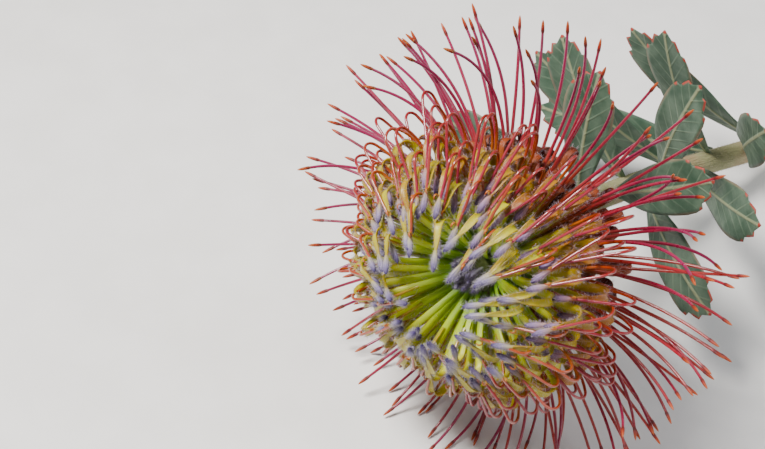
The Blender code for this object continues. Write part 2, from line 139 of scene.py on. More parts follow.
class Graph:
    """Adds nodes to one node tree."""

    def __init__(self, tree):
        self.tree = tree

    def node(self, kind, settings, values):
        """Add a node: its settings first, then a value or link for each socket by name or number."""
        made = self.tree.nodes.new(kind)
        for name, setting in settings.items():
            if name == "stops":
                self.set_stops(made.color_ramp, setting)
            else:
                setattr(made, name, setting)
        for key, value in values.items():
            open_sockets = [socket for socket in made.inputs if socket.enabled]
            by_name = [socket for socket in open_sockets if socket.name == key]
            self.feed(by_name[0] if by_name else open_sockets[key], value)
        shown = [socket for socket in made.outputs if socket.enabled]
        return Wire(self, shown[0]) if shown else None

    def feed(self, socket, value):
        if isinstance(value, Wire):
            self.tree.links.new(value.socket, socket)
        elif socket.type == "RGBA":
            socket.default_value = (*value, 1)
        elif socket.type == "VECTOR" and isinstance(value, (int, float)):
            socket.default_value = (value, value, value)
        else:
            socket.default_value = value

    @staticmethod
    def set_stops(ramp, stops):
        while len(ramp.elements) < len(stops):
            ramp.elements.new(1)
        for element, (place, colour) in zip(ramp.elements, stops):
            element.position = place
            element.color = (*colour, 1)

    def ramp(self, value, stops):
        return self.node("ShaderNodeValToRGB", {"stops": stops}, {"Fac": value})

    def mix(self, share, first, second, way="MIX"):
        settings = {"data_type": "RGBA", "blend_type": way}
        return self.node("ShaderNodeMix", settings, {"Factor": share, "A": first, "B": second})

    def spread(self, value, low, high, to_low=0.0, to_high=1.0):
        """The value's range from low to high, stretched to another range."""
        settings = {"interpolation_type": "SMOOTHSTEP"}
        limits = {"From Min": low, "From Max": high, "To Min": to_low, "To Max": to_high}
        return self.node("ShaderNodeMapRange", settings, {"Value": value, **limits})

    def noise(self, place, scale, detail=2.0):
        return self.node("ShaderNodeTexNoise", {}, {"Vector": place, "Scale": scale, "Detail": detail})

    def attribute(self, name):
        return self.node("ShaderNodeAttribute", {"attribute_name": name}, {})["Fac"]

    def direction(self, name):
        return self.node("ShaderNodeAttribute", {"attribute_name": name}, {})["Vector"]

    def place(self):
        return self.node("ShaderNodeTexCoord", {}, {})["Object"]

    def vector(self, *parts):
        return self.node("ShaderNodeCombineXYZ", {}, dict(enumerate(parts)))

    def split(self, vector):
        return self.node("ShaderNodeSeparateXYZ", {}, {0: vector})

    def bump(self, height, distance):
        values = {"Height": height, "Distance": distance * MM, "Strength": 1.0}
        return self.node("ShaderNodeBump", {}, values)


def finish(name, paint, **fixed):
    """A material: paint wires what changes over the surface, and fixed numbers go on the shader."""
    material = bpy.data.materials.new(name)
    material.use_nodes = True
    graph = Graph(material.node_tree)
    shader = material.node_tree.nodes["Principled BSDF"]
    for key, value in {**fixed, **paint(graph)}.items():
        graph.feed(shader.inputs[key.replace("_", " ")], value)
    return material


def paint_floor(graph):
    mottle = graph.noise(graph.place(), 60)["Fac"]
    colour = graph.mix(graph.spread(mottle, 0.3, 0.7), (0.84, 0.83, 0.81), (0.88, 0.87, 0.85))
    return {"Base Color": colour, "Normal": graph.bump(graph.noise(graph.place(), 2500)["Fac"], 0.03)}


def plain_object(name, points, faces):
    mesh = bpy.data.meshes.new(name)
    mesh.from_pydata([tuple(point) for point in np.asarray(points) * MM], [], faces)
    made = bpy.data.objects.new(name, mesh)
    bpy.context.scene.collection.objects.link(made)
    return made


FLOOR_HALF = 1500.0
corners = [(-1, -1, 0), (1, -1, 0), (1, 1, 0), (-1, 1, 0)]
floor = plain_object("floor", np.array(corners) * FLOOR_HALF, [[0, 1, 2, 3]])
floor.data.materials.append(finish("paper", paint_floor, Roughness=0.9))


# Core of the head
# A woolly dome that all florets stand on, seen as the dark hollow between them.
# It stands on the end of the stem, tilted up from the floor, and is clothed in fine short hairs.
AXIS_RISE = math.radians(18)
AXIS = np.array([0.0, -math.cos(AXIS_RISE), math.sin(AXIS_RISE)])
ACROSS = np.array([1.0, 0.0, 0.0])
UPWARD = np.cross(AXIS, ACROSS)
CORE_RADIUS = 11.0
CORE_HEIGHT = 22.0
CORE_ROUNDNESS = 0.9
CORE_TOP_SHARE = 0.03
CORE_RINGS = 24
CORE_SIDES = 48
HAIR_STRAY = 0.45
HAIR_SIZES = (0.55, 1.25)


def core_point(share):
    """Radius and height on the core, from its top (0) to its base (1)."""
    angle = share * math.pi / 2
    return np.array([CORE_RADIUS * math.sin(angle) ** CORE_ROUNDNESS, CORE_HEIGHT * math.cos(angle)])


def radial_at(azimuth):
    return math.cos(azimuth) * ACROSS + math.sin(azimuth) * UPWARD


class Shaping(Graph):
    """A geometry tree with named inputs that turns a guide into a piece."""

    def __init__(self, name, **kinds):
        super().__init__(bpy.data.node_groups.new(name, "GeometryNodeTree"))
        sockets = self.tree.interface
        sockets.new_socket("Guide", in_out="INPUT", socket_type="NodeSocketGeometry")
        sockets.new_socket("Piece", in_out="OUTPUT", socket_type="NodeSocketGeometry")
        self.identifiers = {}
        for key, kind in {**kinds, "Finish": "Material"}.items():
            socket = sockets.new_socket(key, in_out="INPUT", socket_type="NodeSocket" + kind)
            self.identifiers[key] = socket.identifier
        self.entry = self.node("NodeGroupInput", {}, {})

    def field(self, name, kind="FLOAT"):
        return self.node("GeometryNodeInputNamedAttribute", {"data_type": kind}, {"Name": name})

    def store(self, geometry, name, value, kind="FLOAT", domain="POINT"):
        settings = {"data_type": kind, "domain": domain}
        values = {"Geometry": geometry, "Name": name, "Value": value}
        return self.node("GeometryNodeStoreNamedAttribute", settings, values)

    def position(self):
        return self.node("GeometryNodeInputPosition", {}, {})

    def random(self, low, high, seed, kind="FLOAT"):
        values = {"Min": low, "Max": high, "Seed": seed}
        return self.node("FunctionNodeRandomValue", {"data_type": kind}, values)

    def end(self, geometry):
        real = self.node("GeometryNodeRealizeInstances", {}, {"Geometry": geometry})
        smooth = self.node("GeometryNodeSetShadeSmooth", {}, {"Geometry": real})
        values = {"Geometry": smooth, "Material": self.entry["Finish"]}
        self.node("NodeGroupOutput", {}, {"Piece": self.node("GeometryNodeSetMaterial", {}, values)})

    def make(self, name, guide, **values):
        """The plain piece that this tree makes of the guide."""
        modifier = guide.modifiers.new("Shaping", "NODES")
        modifier.node_group = self.tree
        for key, value in values.items():
            modifier[self.identifiers[key]] = value
        shaped = guide.evaluated_get(bpy.context.evaluated_depsgraph_get())
        mesh = bpy.data.meshes.new_from_object(shaped)
        guide.modifiers.remove(modifier)
        piece = bpy.data.objects.new(name, mesh)
        bpy.context.scene.collection.objects.link(piece)
        return piece


def fur_tree():
    """Fine pointed hairs, denser where the attribute fur is high, that lean along the strand."""
    sizes = dict.fromkeys(("Density", "Length", "Thickness", "Lean"), "Float")
    tree = Shaping("Grow hairs", **sizes, Seed="Int")
    given = tree.entry
    density = given["Density"] * tree.field("fur")
    ground = {"Mesh": given["Guide"], "Density": density, "Seed": given["Seed"]}
    spots = tree.node("GeometryNodeDistributePointsOnFaces", {}, ground)
    radius = given["Thickness"] * 0.5
    spike = {"Vertices": 3, "Radius Bottom": radius, "Radius Top": 0.0, "Depth": given["Length"]}
    hair = tree.node("GeometryNodeMeshCone", {"fill_type": "NGON"}, spike)
    height = tree.split(tree.position())["Z"]
    hair = tree.store(hair, "along", height.maths("DIVIDE", height, given["Length"]))
    stray = tree.random(-HAIR_STRAY, HAIR_STRAY, 0, "FLOAT_VECTOR")
    way = spots["Normal"] + tree.field("ahead", "FLOAT_VECTOR") * given["Lean"] + stray
    turn = tree.node("FunctionNodeAlignRotationToVector", {"axis": "Z"}, {"Vector": way})
    copies = {"Points": spots, "Instance": hair, "Rotation": turn, "Scale": tree.random(*HAIR_SIZES, 3)}
    hairs = tree.node("GeometryNodeInstanceOnPoints", {}, copies)
    tree.end(tree.store(hairs, "tone", tree.random(0, 1, 5), domain="INSTANCE"))
    return tree


def paint_wool(graph):
    colour = graph.mix(graph.noise(graph.place(), 400)["Fac"], (0.04, 0.07, 0.01), (0.12, 0.14, 0.03))
    return {"Base Color": colour, "Normal": graph.bump(graph.noise(graph.place(), 3000)["Fac"], 0.3)}


def paint_hair(root, tip):
    """A hair's finish, from the colour at its root to the one at its tip."""

    def paint(graph):
        colour = graph.mix(graph.attribute("along"), root, tip)
        ripe = graph.spread(graph.attribute("age"), 0.2, 1.1)
        colour = graph.mix(ripe, colour, (1.0, 0.72, 0.82), "MULTIPLY")
        shade = graph.spread(graph.attribute("tone"), 0, 1, 0.75, 1.1)
        colour = graph.mix(1.0, colour, graph.vector(shade, shade, shade), "MULTIPLY")
        return {"Base Color": colour}

    return paint


def turned_mesh(name, profile, side_count):
    """A closed shape turned about the head's axis from radius and height, from base to top."""
    points = []
    for radius, height in profile:
        for index in range(side_count):
            radial = radial_at(2 * math.pi * index / side_count)
            points.append(HEAD_AT + radius * radial + height * AXIS)
    faces = [list(range(side_count))[::-1]]
    for ring in range(len(profile) - 1):
        for index in range(side_count):
            near, far = ring * side_count, (ring + 1) * side_count
            following = (index + 1) % side_count
            faces.append([near + index, near + following, far + following, far + index])
    faces.append([(len(profile) - 1) * side_count + index for index in range(side_count)])
    return plain_object(name, points, faces)


def add_attribute(piece, name, values):
    kind, key = ("FLOAT_VECTOR", "vector") if np.ndim(values) == 2 else ("FLOAT", "value")
    data = piece.data.attributes.new(name, kind, "POINT").data
    data.foreach_set(key, np.ravel(values).astype(np.float32))


def mount(piece, slot, *nodes):
    """The piece rides on the one body and stands for the nodes."""
    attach(piece, "root")
    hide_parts(*nodes)


grow_hairs = fur_tree()


def hairs_on(piece, name, hair_finish, density, length, thickness, lean, seed):
    """Hairs all over a piece, their length and thickness in millimetres."""
    sizes = {"Density": density, "Length": length * MM, "Thickness": thickness * MM, "Lean": lean}
    return grow_hairs.make(name, piece, **sizes, Seed=seed, Finish=hair_finish)


core_profile = [core_point(share) for share in np.linspace(1, CORE_TOP_SHARE, CORE_RINGS)]
core = turned_mesh("core", core_profile, CORE_SIDES)
core.data.shade_smooth()
core.data.materials.append(finish("core wool", paint_wool, Roughness=0.95))
add_attribute(core, "fur", np.ones(len(core.data.vertices)))
add_attribute(core, "ahead", np.tile(AXIS, (len(core.data.vertices), 1)))
core_hair = finish("core hairs", paint_hair((0.10, 0.13, 0.03), (0.36, 0.36, 0.22)), Roughness=0.7)
core_wool = hairs_on(
    core, "core_wool", core_hair, density=3.5e6, length=2.2, thickness=0.12, lean=0.2, seed=1
)
mount(core, "closed_floret", "closed_florets", "open_florets")
mount(core_wool, "closed_floret", "closed_florets")


# Closed florets, their claws
# Florets follow one another down the core by golden turns, each a thin tube slit down its outer side.
# It rises green from the hollow, turns yellow to orange and bends over in a hood to a thin neck.
SEED = 11
GOLDEN_TURN = math.radians(137.5078)
BUD_COUNT = 10
CLOSED_COUNT = 50
OPEN_COUNT = 52
CLOSED_EDGE = 0.70
OPEN_EDGE = 0.76
LAST_OPEN = 0.97
ROOT_DEPTH = 2.0
AZIMUTH_JITTER = math.radians(2)
HEADING_JITTER = math.radians(3)
JITTER_COUNT = 5
CLAW_HEADING = (math.radians(46), math.radians(94))
CLAW_ARCH = math.radians(24)
CLAW_RISE = (17.0, 23.5)
CLAW_BEND_RADIUS = 3.9
CLAW_FAN_EASE = 0.9
CLAW_RETURN = 5.0
LIMB_HEADING = (math.radians(-57), math.radians(-52))
SHUT_SIDE_BEND = math.radians(-26)
LIMB_LENGTH = 5.6
LIMB_STEPS = 9
RISE_JITTER = 0.08
LIMB_JITTER = math.radians(13)
ROLL_JITTER = math.radians(8)
CLAW_STOPS = (0.0, 0.3, 0.6, 0.72, 0.86, 0.95, 1.0)
CLAW_WIDTHS = (1.7, 2.3, 2.6, 2.6, 2.3, 1.65, 1.0)
CLAW_THICKS = (0.6, 0.45, 0.4, 0.4, 0.45, 0.7, 0.9)
CLAW_CUPS = (0.35, 0.45, 0.6, 0.8, 0.75, 0.4, 0.0)
CLAW_SIZES = (0.84, 1.0)
SLIT_SHARE = (0.68, 0.36)
SLIT_TILT = math.radians(4)
SPOKE_LENGTH = (9.5, 14.5)
SPOKE_JITTER = 0.2
SPOKE_TILT = math.radians(12)
HAIRPIN_RADIUS = (2.0, 3.6)
HAIRPIN_TURN = math.radians(130)
BEND_HANDLE = 0.4
BEND_POINTS = 13
SPOKE_POINTS = 9
NECK_OVERLAP = 1.5
EXTRA_CLOSED = 105
ALLEY_FILLS = 20
EXTRA_OPEN = 75
EXTRA_UNREST = 1.6
SPOT_REACH = 18.0
SPOT_COUNT = 120
OPEN_HEADING = (math.radians(98), math.radians(112))
OPEN_SIDE = math.radians(60)
OPEN_SIDE_GAIN = (0.45, 1.05)
LOOP_SWAY = 1.3
CLOSED_RIM = 0.58
BARE_SIDE = 0.72
RIPENESS = (0.5, 1.4)
YOUNG_CLAW = [
    (0.1, (0.18, 0.42, 0.008)),
    (0.4, (0.47, 0.62, 0.002)),
    (0.7, (0.50, 0.50, 0.0)),
    (0.88, (0.42, 0.37, 0.0)),
    (1.0, (0.33, 0.29, 0.008)),
]
OLD_CLAW = [
    (0.1, (0.17, 0.33, 0.005)),
    (0.4, (0.42, 0.36, 0.001)),
    (0.7, (0.38, 0.17, 0.0)),
    (0.88, (0.32, 0.10, 0.0)),
    (1.0, (0.28, 0.09, 0.01)),
]
SOFT = {
    "Subsurface Weight": 0.12,
    "Subsurface Radius": (0.003, 0.0015, 0.0005),
    "Subsurface Scale": 0.3,
}


def unit(vectors):
    return vectors / np.linalg.norm(vectors, axis=-1, keepdims=True)


def blend(pair, share):
    return pair[0] + (pair[1] - pair[0]) * share


def step_along(heading):
    """A step of 1 in a radial plane. A heading is the angle from the head's axis."""
    return np.array([math.sin(heading), math.cos(heading)])


def place_share(index):
    """How far down the core floret number index grows: 0 at the top, 1 at the base."""
    total = BUD_COUNT + CLOSED_COUNT + OPEN_COUNT
    even = math.sqrt((index + 0.5) / total)
    last_closed = math.sqrt((BUD_COUNT + CLOSED_COUNT) / total)
    if even < last_closed:
        return even * CLOSED_EDGE / last_closed
    return OPEN_EDGE + (LAST_OPEN - OPEN_EDGE) * (even - last_closed) / (1 - last_closed)


def trail(start, heading, runs):
    """Walk in a radial plane; each run has a length, a turn and a count of steps."""
    points = [np.array(start, float)]
    for length, turn, steps in runs:
        for _ in range(steps):
            points.append(points[-1] + step_along(heading + turn / steps / 2) * length / steps)
            heading += turn / steps
    return np.array(points)


def turned(vectors, spindle, angle):
    along = (vectors @ spindle)[..., None] * spindle
    across = np.cross(spindle, vectors)
    return vectors * math.cos(angle) + across * math.sin(angle) + along * (1 - math.cos(angle))


def placed(points, azimuth, foot, heading, roll):
    """Radial-plane points in the world, rolled about the line that leaves the foot."""
    radial = radial_at(azimuth)
    side = np.cross(AXIS, radial)
    world = HEAD_AT + points[:, :1] * radial + points[:, 1:] * AXIS
    pivot = HEAD_AT + foot[0] * radial + foot[1] * AXIS
    spindle = math.sin(heading) * radial + math.cos(heading) * AXIS
    return pivot + turned(world - pivot, spindle, roll), turned(side, spindle, roll)


def openness(azimuth):
    """1 on the side of the head that opened first, and 0 on the other."""
    return 0.5 + 0.5 * math.cos(azimuth - OPEN_SIDE)


def style_loop(slit, slit_heading, neck, spoke_heading, spoke_length, hairpin_radius):
    """From the slit in a smooth bend, round the hairpin and down the straight spoke to the neck."""
    spoke = step_along(spoke_heading)
    outer = neck - spoke_length * spoke
    centre = outer + hairpin_radius * np.array([-spoke[1], spoke[0]])
    turns = np.linspace(HAIRPIN_TURN, 0, BEND_POINTS) + spoke_heading + math.pi / 2
    hairpin = np.array([centre + hairpin_radius * step_along(turn) for turn in turns])
    reach = BEND_HANDLE * np.linalg.norm(hairpin[0] - slit)
    second = slit + reach * step_along(slit_heading)
    third = hairpin[0] - reach * step_along(spoke_heading + HAIRPIN_TURN)
    at = np.linspace(0, 1, BEND_POINTS)[:-1, None]
    rest = 1 - at
    bend = rest**3 * slit + 3 * rest**2 * at * second + 3 * rest * at**2 * third + at**3 * hairpin[0]
    straight = [blend((outer, neck), share) for share in np.linspace(0, 1, SPOKE_POINTS)[1:]]
    return np.vstack([bend, hairpin, straight])


def travelled_shares(points):
    steps = np.linalg.norm(np.diff(points, axis=0), axis=1)
    return np.concatenate([[0], np.cumsum(steps)]) / steps.sum()


def claw_age(share):
    youngest = place_share(BUD_COUNT)
    return max(share - youngest, 0) / (CLOSED_EDGE - youngest)


def claw_heading(share):
    return blend(CLAW_HEADING, claw_age(share) ** CLAW_FAN_EASE)


def open_heading(share):
    return blend(OPEN_HEADING, (share - OPEN_EDGE) / (LAST_OPEN - OPEN_EDGE))


def closed_floret(share, azimuth, jitter):
    """One closed floret's claw, limb and looped style, as strands."""
    age = claw_age(share)
    grown = min(1.0, 2 * age)
    opened = openness(azimuth)
    heading = claw_heading(share) + HEADING_JITTER * jitter[0]
    end_heading = blend(LIMB_HEADING, age) + LIMB_JITTER * jitter[1]
    end_heading += SHUT_SIDE_BEND * age * (1 - opened)
    rise = blend(CLAW_RISE, grown) * (1 + RISE_JITTER * jitter[2])
    foot = core_point(share)
    first_heading = heading - CLAW_ARCH / 2
    start = foot - ROOT_DEPTH * step_along(first_heading)
    turn = end_heading - heading - CLAW_ARCH / 2
    runs = [
        (ROOT_DEPTH + rise, CLAW_ARCH, 10),
        (CLAW_BEND_RADIUS * abs(turn), turn, 9),
        (CLAW_RETURN, 0, 5),
        (LIMB_LENGTH, 0, LIMB_STEPS),
    ]
    crook = trail(start, first_heading, runs)
    neck_at = len(crook) - 1 - LIMB_STEPS
    slit = foot + blend(SLIT_SHARE, age) * rise * step_along(first_heading + CLAW_ARCH / 4)
    spoke_length = blend(SPOKE_LENGTH, age) * (1 + SPOKE_JITTER * jitter[3])
    spoke_length *= blend(OPEN_SIDE_GAIN, opened)
    spoke_heading = end_heading - SPOKE_TILT
    radius = blend(HAIRPIN_RADIUS, 0.5 * opened + 0.25 + 0.25 * jitter[2])
    loop = style_loop(slit, heading + SLIT_TILT, crook[neck_at], spoke_heading, spoke_length, radius)
    inside = crook[neck_at] + NECK_OVERLAP * step_along(end_heading)
    roll = ROLL_JITTER * jitter[4]
    crook_world, side = placed(crook, azimuth, start, heading, roll)
    loop_world, _ = placed(np.vstack([loop, inside]), azimuth, start, heading, roll)
    sway = np.sin(math.pi * travelled_shares(loop_world))
    loop_world = loop_world + LOOP_SWAY * jitter[3] * sway[:, None] * side
    ripeness = age * blend(RIPENESS, opened)
    shared = {"side": side, "age": ripeness, "tone": 0.5 + 0.5 * jitter[0]}
    claw = {"points": crook_world[: neck_at + 1], "size": blend(CLAW_SIZES, grown), **shared}
    limb = {"points": crook_world[neck_at:], **shared}
    return claw, limb, {"points": loop_world, **shared}


LENGTH_KEYS = ("points", "width", "thick", "cup")
VECTOR_KEYS = ("points", "side", "ahead", "over")


def guide(name, strands, profiles):
    """Bare lines through the strands' points, with their values and profiles as point attributes.

    A profile is a pair of stops along the strand and the values there.
    """
    columns = {}
    edges = []
    total = 0
    for strand in strands:
        points = strand["points"]
        count = len(points)
        along = travelled_shares(points)
        ahead = unit(np.gradient(points, axis=0))
        side = unit(strand["side"] - (ahead @ strand["side"])[:, None] * ahead)
        values = {**strand, "along": along, "ahead": ahead, "side": side, "over": np.cross(ahead, side)}
        for key, (stops, heights) in profiles.items():
            values[key] = np.interp(along, stops, heights) * strand.get("size", 1)
        values.pop("size", None)
        for key, value in values.items():
            shape = (count, 3) if key in VECTOR_KEYS else (count,)
            scale = MM if key in LENGTH_KEYS else 1
            columns.setdefault(key, []).append(np.broadcast_to(value, shape) * scale)
        edges += [(total + index, total + index + 1) for index in range(count - 1)]
        total += count
    columns = {key: np.concatenate(parts) for key, parts in columns.items()}
    mesh = bpy.data.meshes.new(name)
    mesh.from_pydata(columns.pop("points").tolist(), edges, [])
    made = bpy.data.objects.new(name, mesh)
    bpy.context.scene.collection.objects.link(made)
    for key, values in columns.items():
        add_attribute(made, key, values)
    return made


def drop(*guides):
    for item in guides:
        bpy.data.objects.remove(item)


def sweep_tree():
    """A closed tube along each line: flattened, cupped to a trough or grooved in four lobes."""
    tree = Shaping("Sweep strands", Sides="Int", Margin="Float")
    given = tree.entry
    paths = tree.node("GeometryNodeMeshToCurve", {}, {"Mesh": given["Guide"]})
    paths = tree.store(paths, "middle", tree.position(), "FLOAT_VECTOR")
    circle = {"Resolution": given["Sides"], "Radius": 1.0}
    ring = tree.node("GeometryNodeCurvePrimitiveCircle", {}, circle)
    ring = tree.store(ring, "section", tree.position(), "FLOAT_VECTOR")
    walls = {"Curve": paths, "Profile Curve": ring, "Fill Caps": True}
    tubes = tree.node("GeometryNodeCurveToMesh", {}, walls)
    section = tree.split(tree.field("section", "FLOAT_VECTOR"))
    across, above = section["X"], section["Y"]
    quarter_turns = across.maths("ARCTAN2", above, across) * 4
    swell = 1 + tree.field("lobe") * quarter_turns.maths("COSINE", quarter_turns)
    aside = across * swell * tree.field("width") * 0.5
    lift = above * swell * tree.field("thick") * 0.5 - tree.field("cup") * (across * across - 0.5)
    middle, side, over = (tree.field(name, "FLOAT_VECTOR") for name in ("middle", "side", "over"))
    surface = middle + side * aside + over * lift
    tubes = tree.node("GeometryNodeSetPosition", {}, {"Geometry": tubes, "Position": surface})
    edge_share = 1 - given["Margin"] * (1 - across**4)
    tree.end(tree.store(tubes, "fur", tree.field("fur") * edge_share))
    return tree


def streaks(graph, closeness, stretch, scale):
    """Fine lines that run along a ribbon, different on each strand."""
    along, tone = graph.attribute("along"), graph.attribute("tone")
    lines = graph.direction("section") * (closeness, 1, 1) + graph.vector(0, along * stretch, tone * 20)
    return graph.noise(lines, scale)["Fac"]


def paint_claw(graph):
    along, age, tone = (graph.attribute(name) for name in ("along", "age", "tone"))
    young, old = graph.ramp(along, YOUNG_CLAW), graph.ramp(along, OLD_CLAW)
    colour = graph.mix(graph.spread(age + (tone - 0.5) * 0.5, 0.25, 1.05), young, old)
    streak = streaks(graph, 5, 2, 1.6)
    colour = graph.mix(graph.spread(streak, 0.35, 0.7, 0.0, 0.5), colour, (0.92, 0.82, 0.6), "MULTIPLY")
    across = graph.split(graph.direction("section"))["X"]
    rim = graph.spread(across.maths("ABSOLUTE", across), 0.5, 1.0)
    colour = graph.mix(rim * graph.spread(along, 0.35, 0.8, 0.0, 0.5), colour, (0.36, 0.17, 0.0))
    blotch = graph.noise(graph.place(), 260)["Fac"]
    colour = graph.mix(graph.spread(blotch, 0.4, 0.75, 0, 0.25), colour, (0.75, 0.70, 0.5), "MULTIPLY")
    rough = graph.spread(blotch, 0.2, 0.8, 0.28, 0.42)
    return {"Base Color": colour, "Roughness": rough, "Normal": graph.bump(streak, 0.12)}


def spot_above(share, azimuth, heading):
    """A spot on the floret's way out, clear of the core."""
    radius, height = core_point(share) + SPOT_REACH * step_along(heading)
    return radius * radial_at(azimuth) + height * AXIS


def widest_gap(share, heading, standing):
    """Of a ring of azimuths, the one furthest from the florets that stand already."""
    ring = 2 * math.pi * np.arange(SPOT_COUNT) / SPOT_COUNT
    spots = np.array([spot_above(share, azimuth, heading) for azimuth in ring])
    rooms = np.linalg.norm(spots[:, None] - np.array(standing)[None], axis=2).min(axis=1)
    return ring[np.argmax(rooms)]


draws = np.random.default_rng(SEED)
bud_places, closed_places, open_places = [], [], []
for number in range(BUD_COUNT + CLOSED_COUNT + OPEN_COUNT):
    floret_jitter = draws.uniform(-1, 1, JITTER_COUNT)
    floret_azimuth = number * GOLDEN_TURN + AZIMUTH_JITTER * draws.uniform(-1, 1)
    if number < BUD_COUNT:
        group = bud_places
    elif number < BUD_COUNT + CLOSED_COUNT:
        group = closed_places
    else:
        group = open_places
    group.append((place_share(number), floret_azimuth, floret_jitter))
for group, heading_at, first, count, extras in (
    (closed_places, claw_heading, BUD_COUNT, CLOSED_COUNT, EXTRA_CLOSED),
    (open_places, open_heading, BUD_COUNT + CLOSED_COUNT, OPEN_COUNT, EXTRA_OPEN),
):
    standing = [spot_above(share, azimuth, heading_at(share)) for share, azimuth, _ in group]
    for number in range(extras):
        share = place_share(first + (number + 0.5) * (count - 1) / extras)
        azimuth = widest_gap(share, heading_at(share), standing)
        standing.append(spot_above(share, azimuth, heading_at(share)))
        unrest = EXTRA_UNREST * draws.uniform(-1, 1, JITTER_COUNT)
        if share > OPEN_EDGE or share < CLOSED_RIM or openness(azimuth) < BARE_SIDE:
            group.append((share, azimuth, unrest))
for number in range(ALLEY_FILLS):
    taken = np.sort([azimuth % (2 * math.pi) for _, azimuth, _ in closed_places])
    gaps = np.diff(np.append(taken, taken[0] + 2 * math.pi))
    widest = np.argmax(gaps)
    share = place_share(BUD_COUNT + (number + 0.5) * (CLOSED_COUNT - 1) / ALLEY_FILLS)
    closed_places.append((share, taken[widest] + gaps[widest] / 2, draws.uniform(-1, 1, JITTER_COUNT)))
closed_strands = [closed_floret(*place) for place in closed_places]
claw_profiles = {
    "width": (CLAW_STOPS, CLAW_WIDTHS),
    "thick": (CLAW_STOPS, CLAW_THICKS),
    "cup": (CLAW_STOPS, CLAW_CUPS),
    "fur": ((0.0, 0.35, 0.6, 1.0), (0.0, 0.15, 0.8, 1.0)),
}
sweep = sweep_tree()
claw_finish = finish("claw tissue", paint_claw, **SOFT)
claw_guide = guide("claw guide", [claw for claw, _, _ in closed_strands], claw_profiles)
claws = sweep.make("closed_claws", claw_guide, Sides=10, Margin=0.95, Finish=claw_finish)
mount(claws, "closed_floret", "closed_florets")
pale_hair = finish("pale hairs", paint_hair((0.52, 0.46, 0.55), (0.95, 0.92, 0.97)), Roughness=0.45)
claw_hairs = hairs_on(
    claws, "claw_hairs", pale_hair, density=6.4e6, length=1.3, thickness=0.07, lean=0.4, seed=2
)
mount(claw_hairs, "closed_floret", "closed_florets")
drop(claw_guide)


# Limbs of the closed florets
# The four pointed lobes at a claw's end still hold together round the style's tip, like a match head.
# They are lilac grey under silver down, paler at the neck and dark purple at the point.
LIMB_STOPS = (0.0, 0.12, 0.4, 0.7, 0.9, 0.97, 1.0)
LIMB_WIDTHS = (0.95, 1.15, 1.65, 1.6, 1.1, 0.75, 0.35)
YOUNG_LIMB = [
    (0.0, (0.44, 0.38, 0.07)),
    (0.3, (0.38, 0.34, 0.26)),
    (0.6, (0.24, 0.20, 0.34)),
    (0.97, (0.03, 0.015, 0.10)),
]
OLD_LIMB = [
    (0.0, (0.44, 0.18, 0.10)),
    (0.3, (0.38, 0.20, 0.24)),
    (0.6, (0.27, 0.16, 0.30)),
    (0.97, (0.03, 0.012, 0.08)),
]


def paint_limb(graph):
    along, age = graph.attribute("along"), graph.attribute("age")
    young, old = graph.ramp(along, YOUNG_LIMB), graph.ramp(along, OLD_LIMB)
    colour = graph.mix(graph.spread(age, 0.2, 0.9), young, old)
    # Painted shade: dark purple streaks along the limb stand for the shade in the grooves between its
    # lobes. They come from noise round the section, not from where the grooves lie, and the same noise
    # gives the bump.
    noise_field = graph.noise(graph.direction("section") * (5, 5, 1) + graph.place() * 250, 1.0)["Fac"]
    colour = graph.mix(graph.spread(noise_field, 0.45, 0.65, 0, 0.7), colour, (0.08, 0.045, 0.15))
    return {"Base Color": colour, "Normal": graph.bump(noise_field, 0.15)}


limb_profiles = {
    "width": (LIMB_STOPS, LIMB_WIDTHS),
    "thick": (LIMB_STOPS, LIMB_WIDTHS),
    "lobe": ((0.0, 0.4, 1.0), (0.0, 0.06, 0.16)),
    "fur": ((0.0, 0.15, 0.4, 0.9, 1.0), (0.15, 0.5, 1.0, 1.0, 0.4)),
}
limb_strands = [limb for _, limb, _ in closed_strands]
limb_guide = guide("limb guide", limb_strands, limb_profiles)
limb_finish = finish("limb skin", paint_limb, Roughness=0.6)
limbs = sweep.make("closed_limbs", limb_guide, Sides=12, Finish=limb_finish)
limb_hairs = hairs_on(
    limbs, "limb_hairs", pale_hair, density=5.6e6, length=1.1, thickness=0.065, lean=0.55, seed=3
)
mount(limbs, "closed_floret", "closed_florets")
mount(limb_hairs, "closed_floret", "closed_florets")
drop(limb_guide)


# Looped styles
# A closed floret's style springs out of the slit in its claw, while its tip is still held in the limb.
# It is a smooth waxy thread: yellow green at the slit, red round the loop and pink with gloss above.
LAST_INSIDE = 0.35
THREAD = ((0.0, 0.6, 1.0), (0.85, 0.8, 0.72))
YOUNG_LOOP = [
    (0.05, (0.40, 0.36, 0.004)),
    (0.4, (0.40, 0.10, 0.002)),
    (0.58, (0.31, 0.045, 0.002)),
    (0.9, (0.34, 0.06, 0.022)),
]
OLD_LOOP = [
    (0.05, (0.44, 0.24, 0.004)),
    (0.4, (0.34, 0.035, 0.002)),
    (0.58, (0.25, 0.009, 0.003)),
    (0.9, (0.30, 0.012, 0.045)),
]


def waxed(graph, colour, scale, tint, roughness):
    """A colour under a thin coat of wax, with slight waves in its tint and gloss."""
    wave = graph.noise(graph.place(), scale)["Fac"]
    colour = graph.mix(graph.spread(wave, 0.45, 0.7, 0, 0.35), colour, tint, "MULTIPLY")
    rough = graph.spread(wave, 0.3, 0.7, *roughness)
    return {"Base Color": colour, "Roughness": rough, "Normal": graph.bump(wave, 0.08)}


def paint_loop(graph):
    along, age, tone = (graph.attribute(name) for name in ("along", "age", "tone"))
    young, old = graph.ramp(along, YOUNG_LOOP), graph.ramp(along, OLD_LOOP)
    colour = graph.mix(graph.spread(age + (tone - 0.5) * 0.6, 0.1, 0.8), young, old)
    return waxed(graph, colour, 500, (0.8, 0.55, 0.6), (0.24, 0.36))


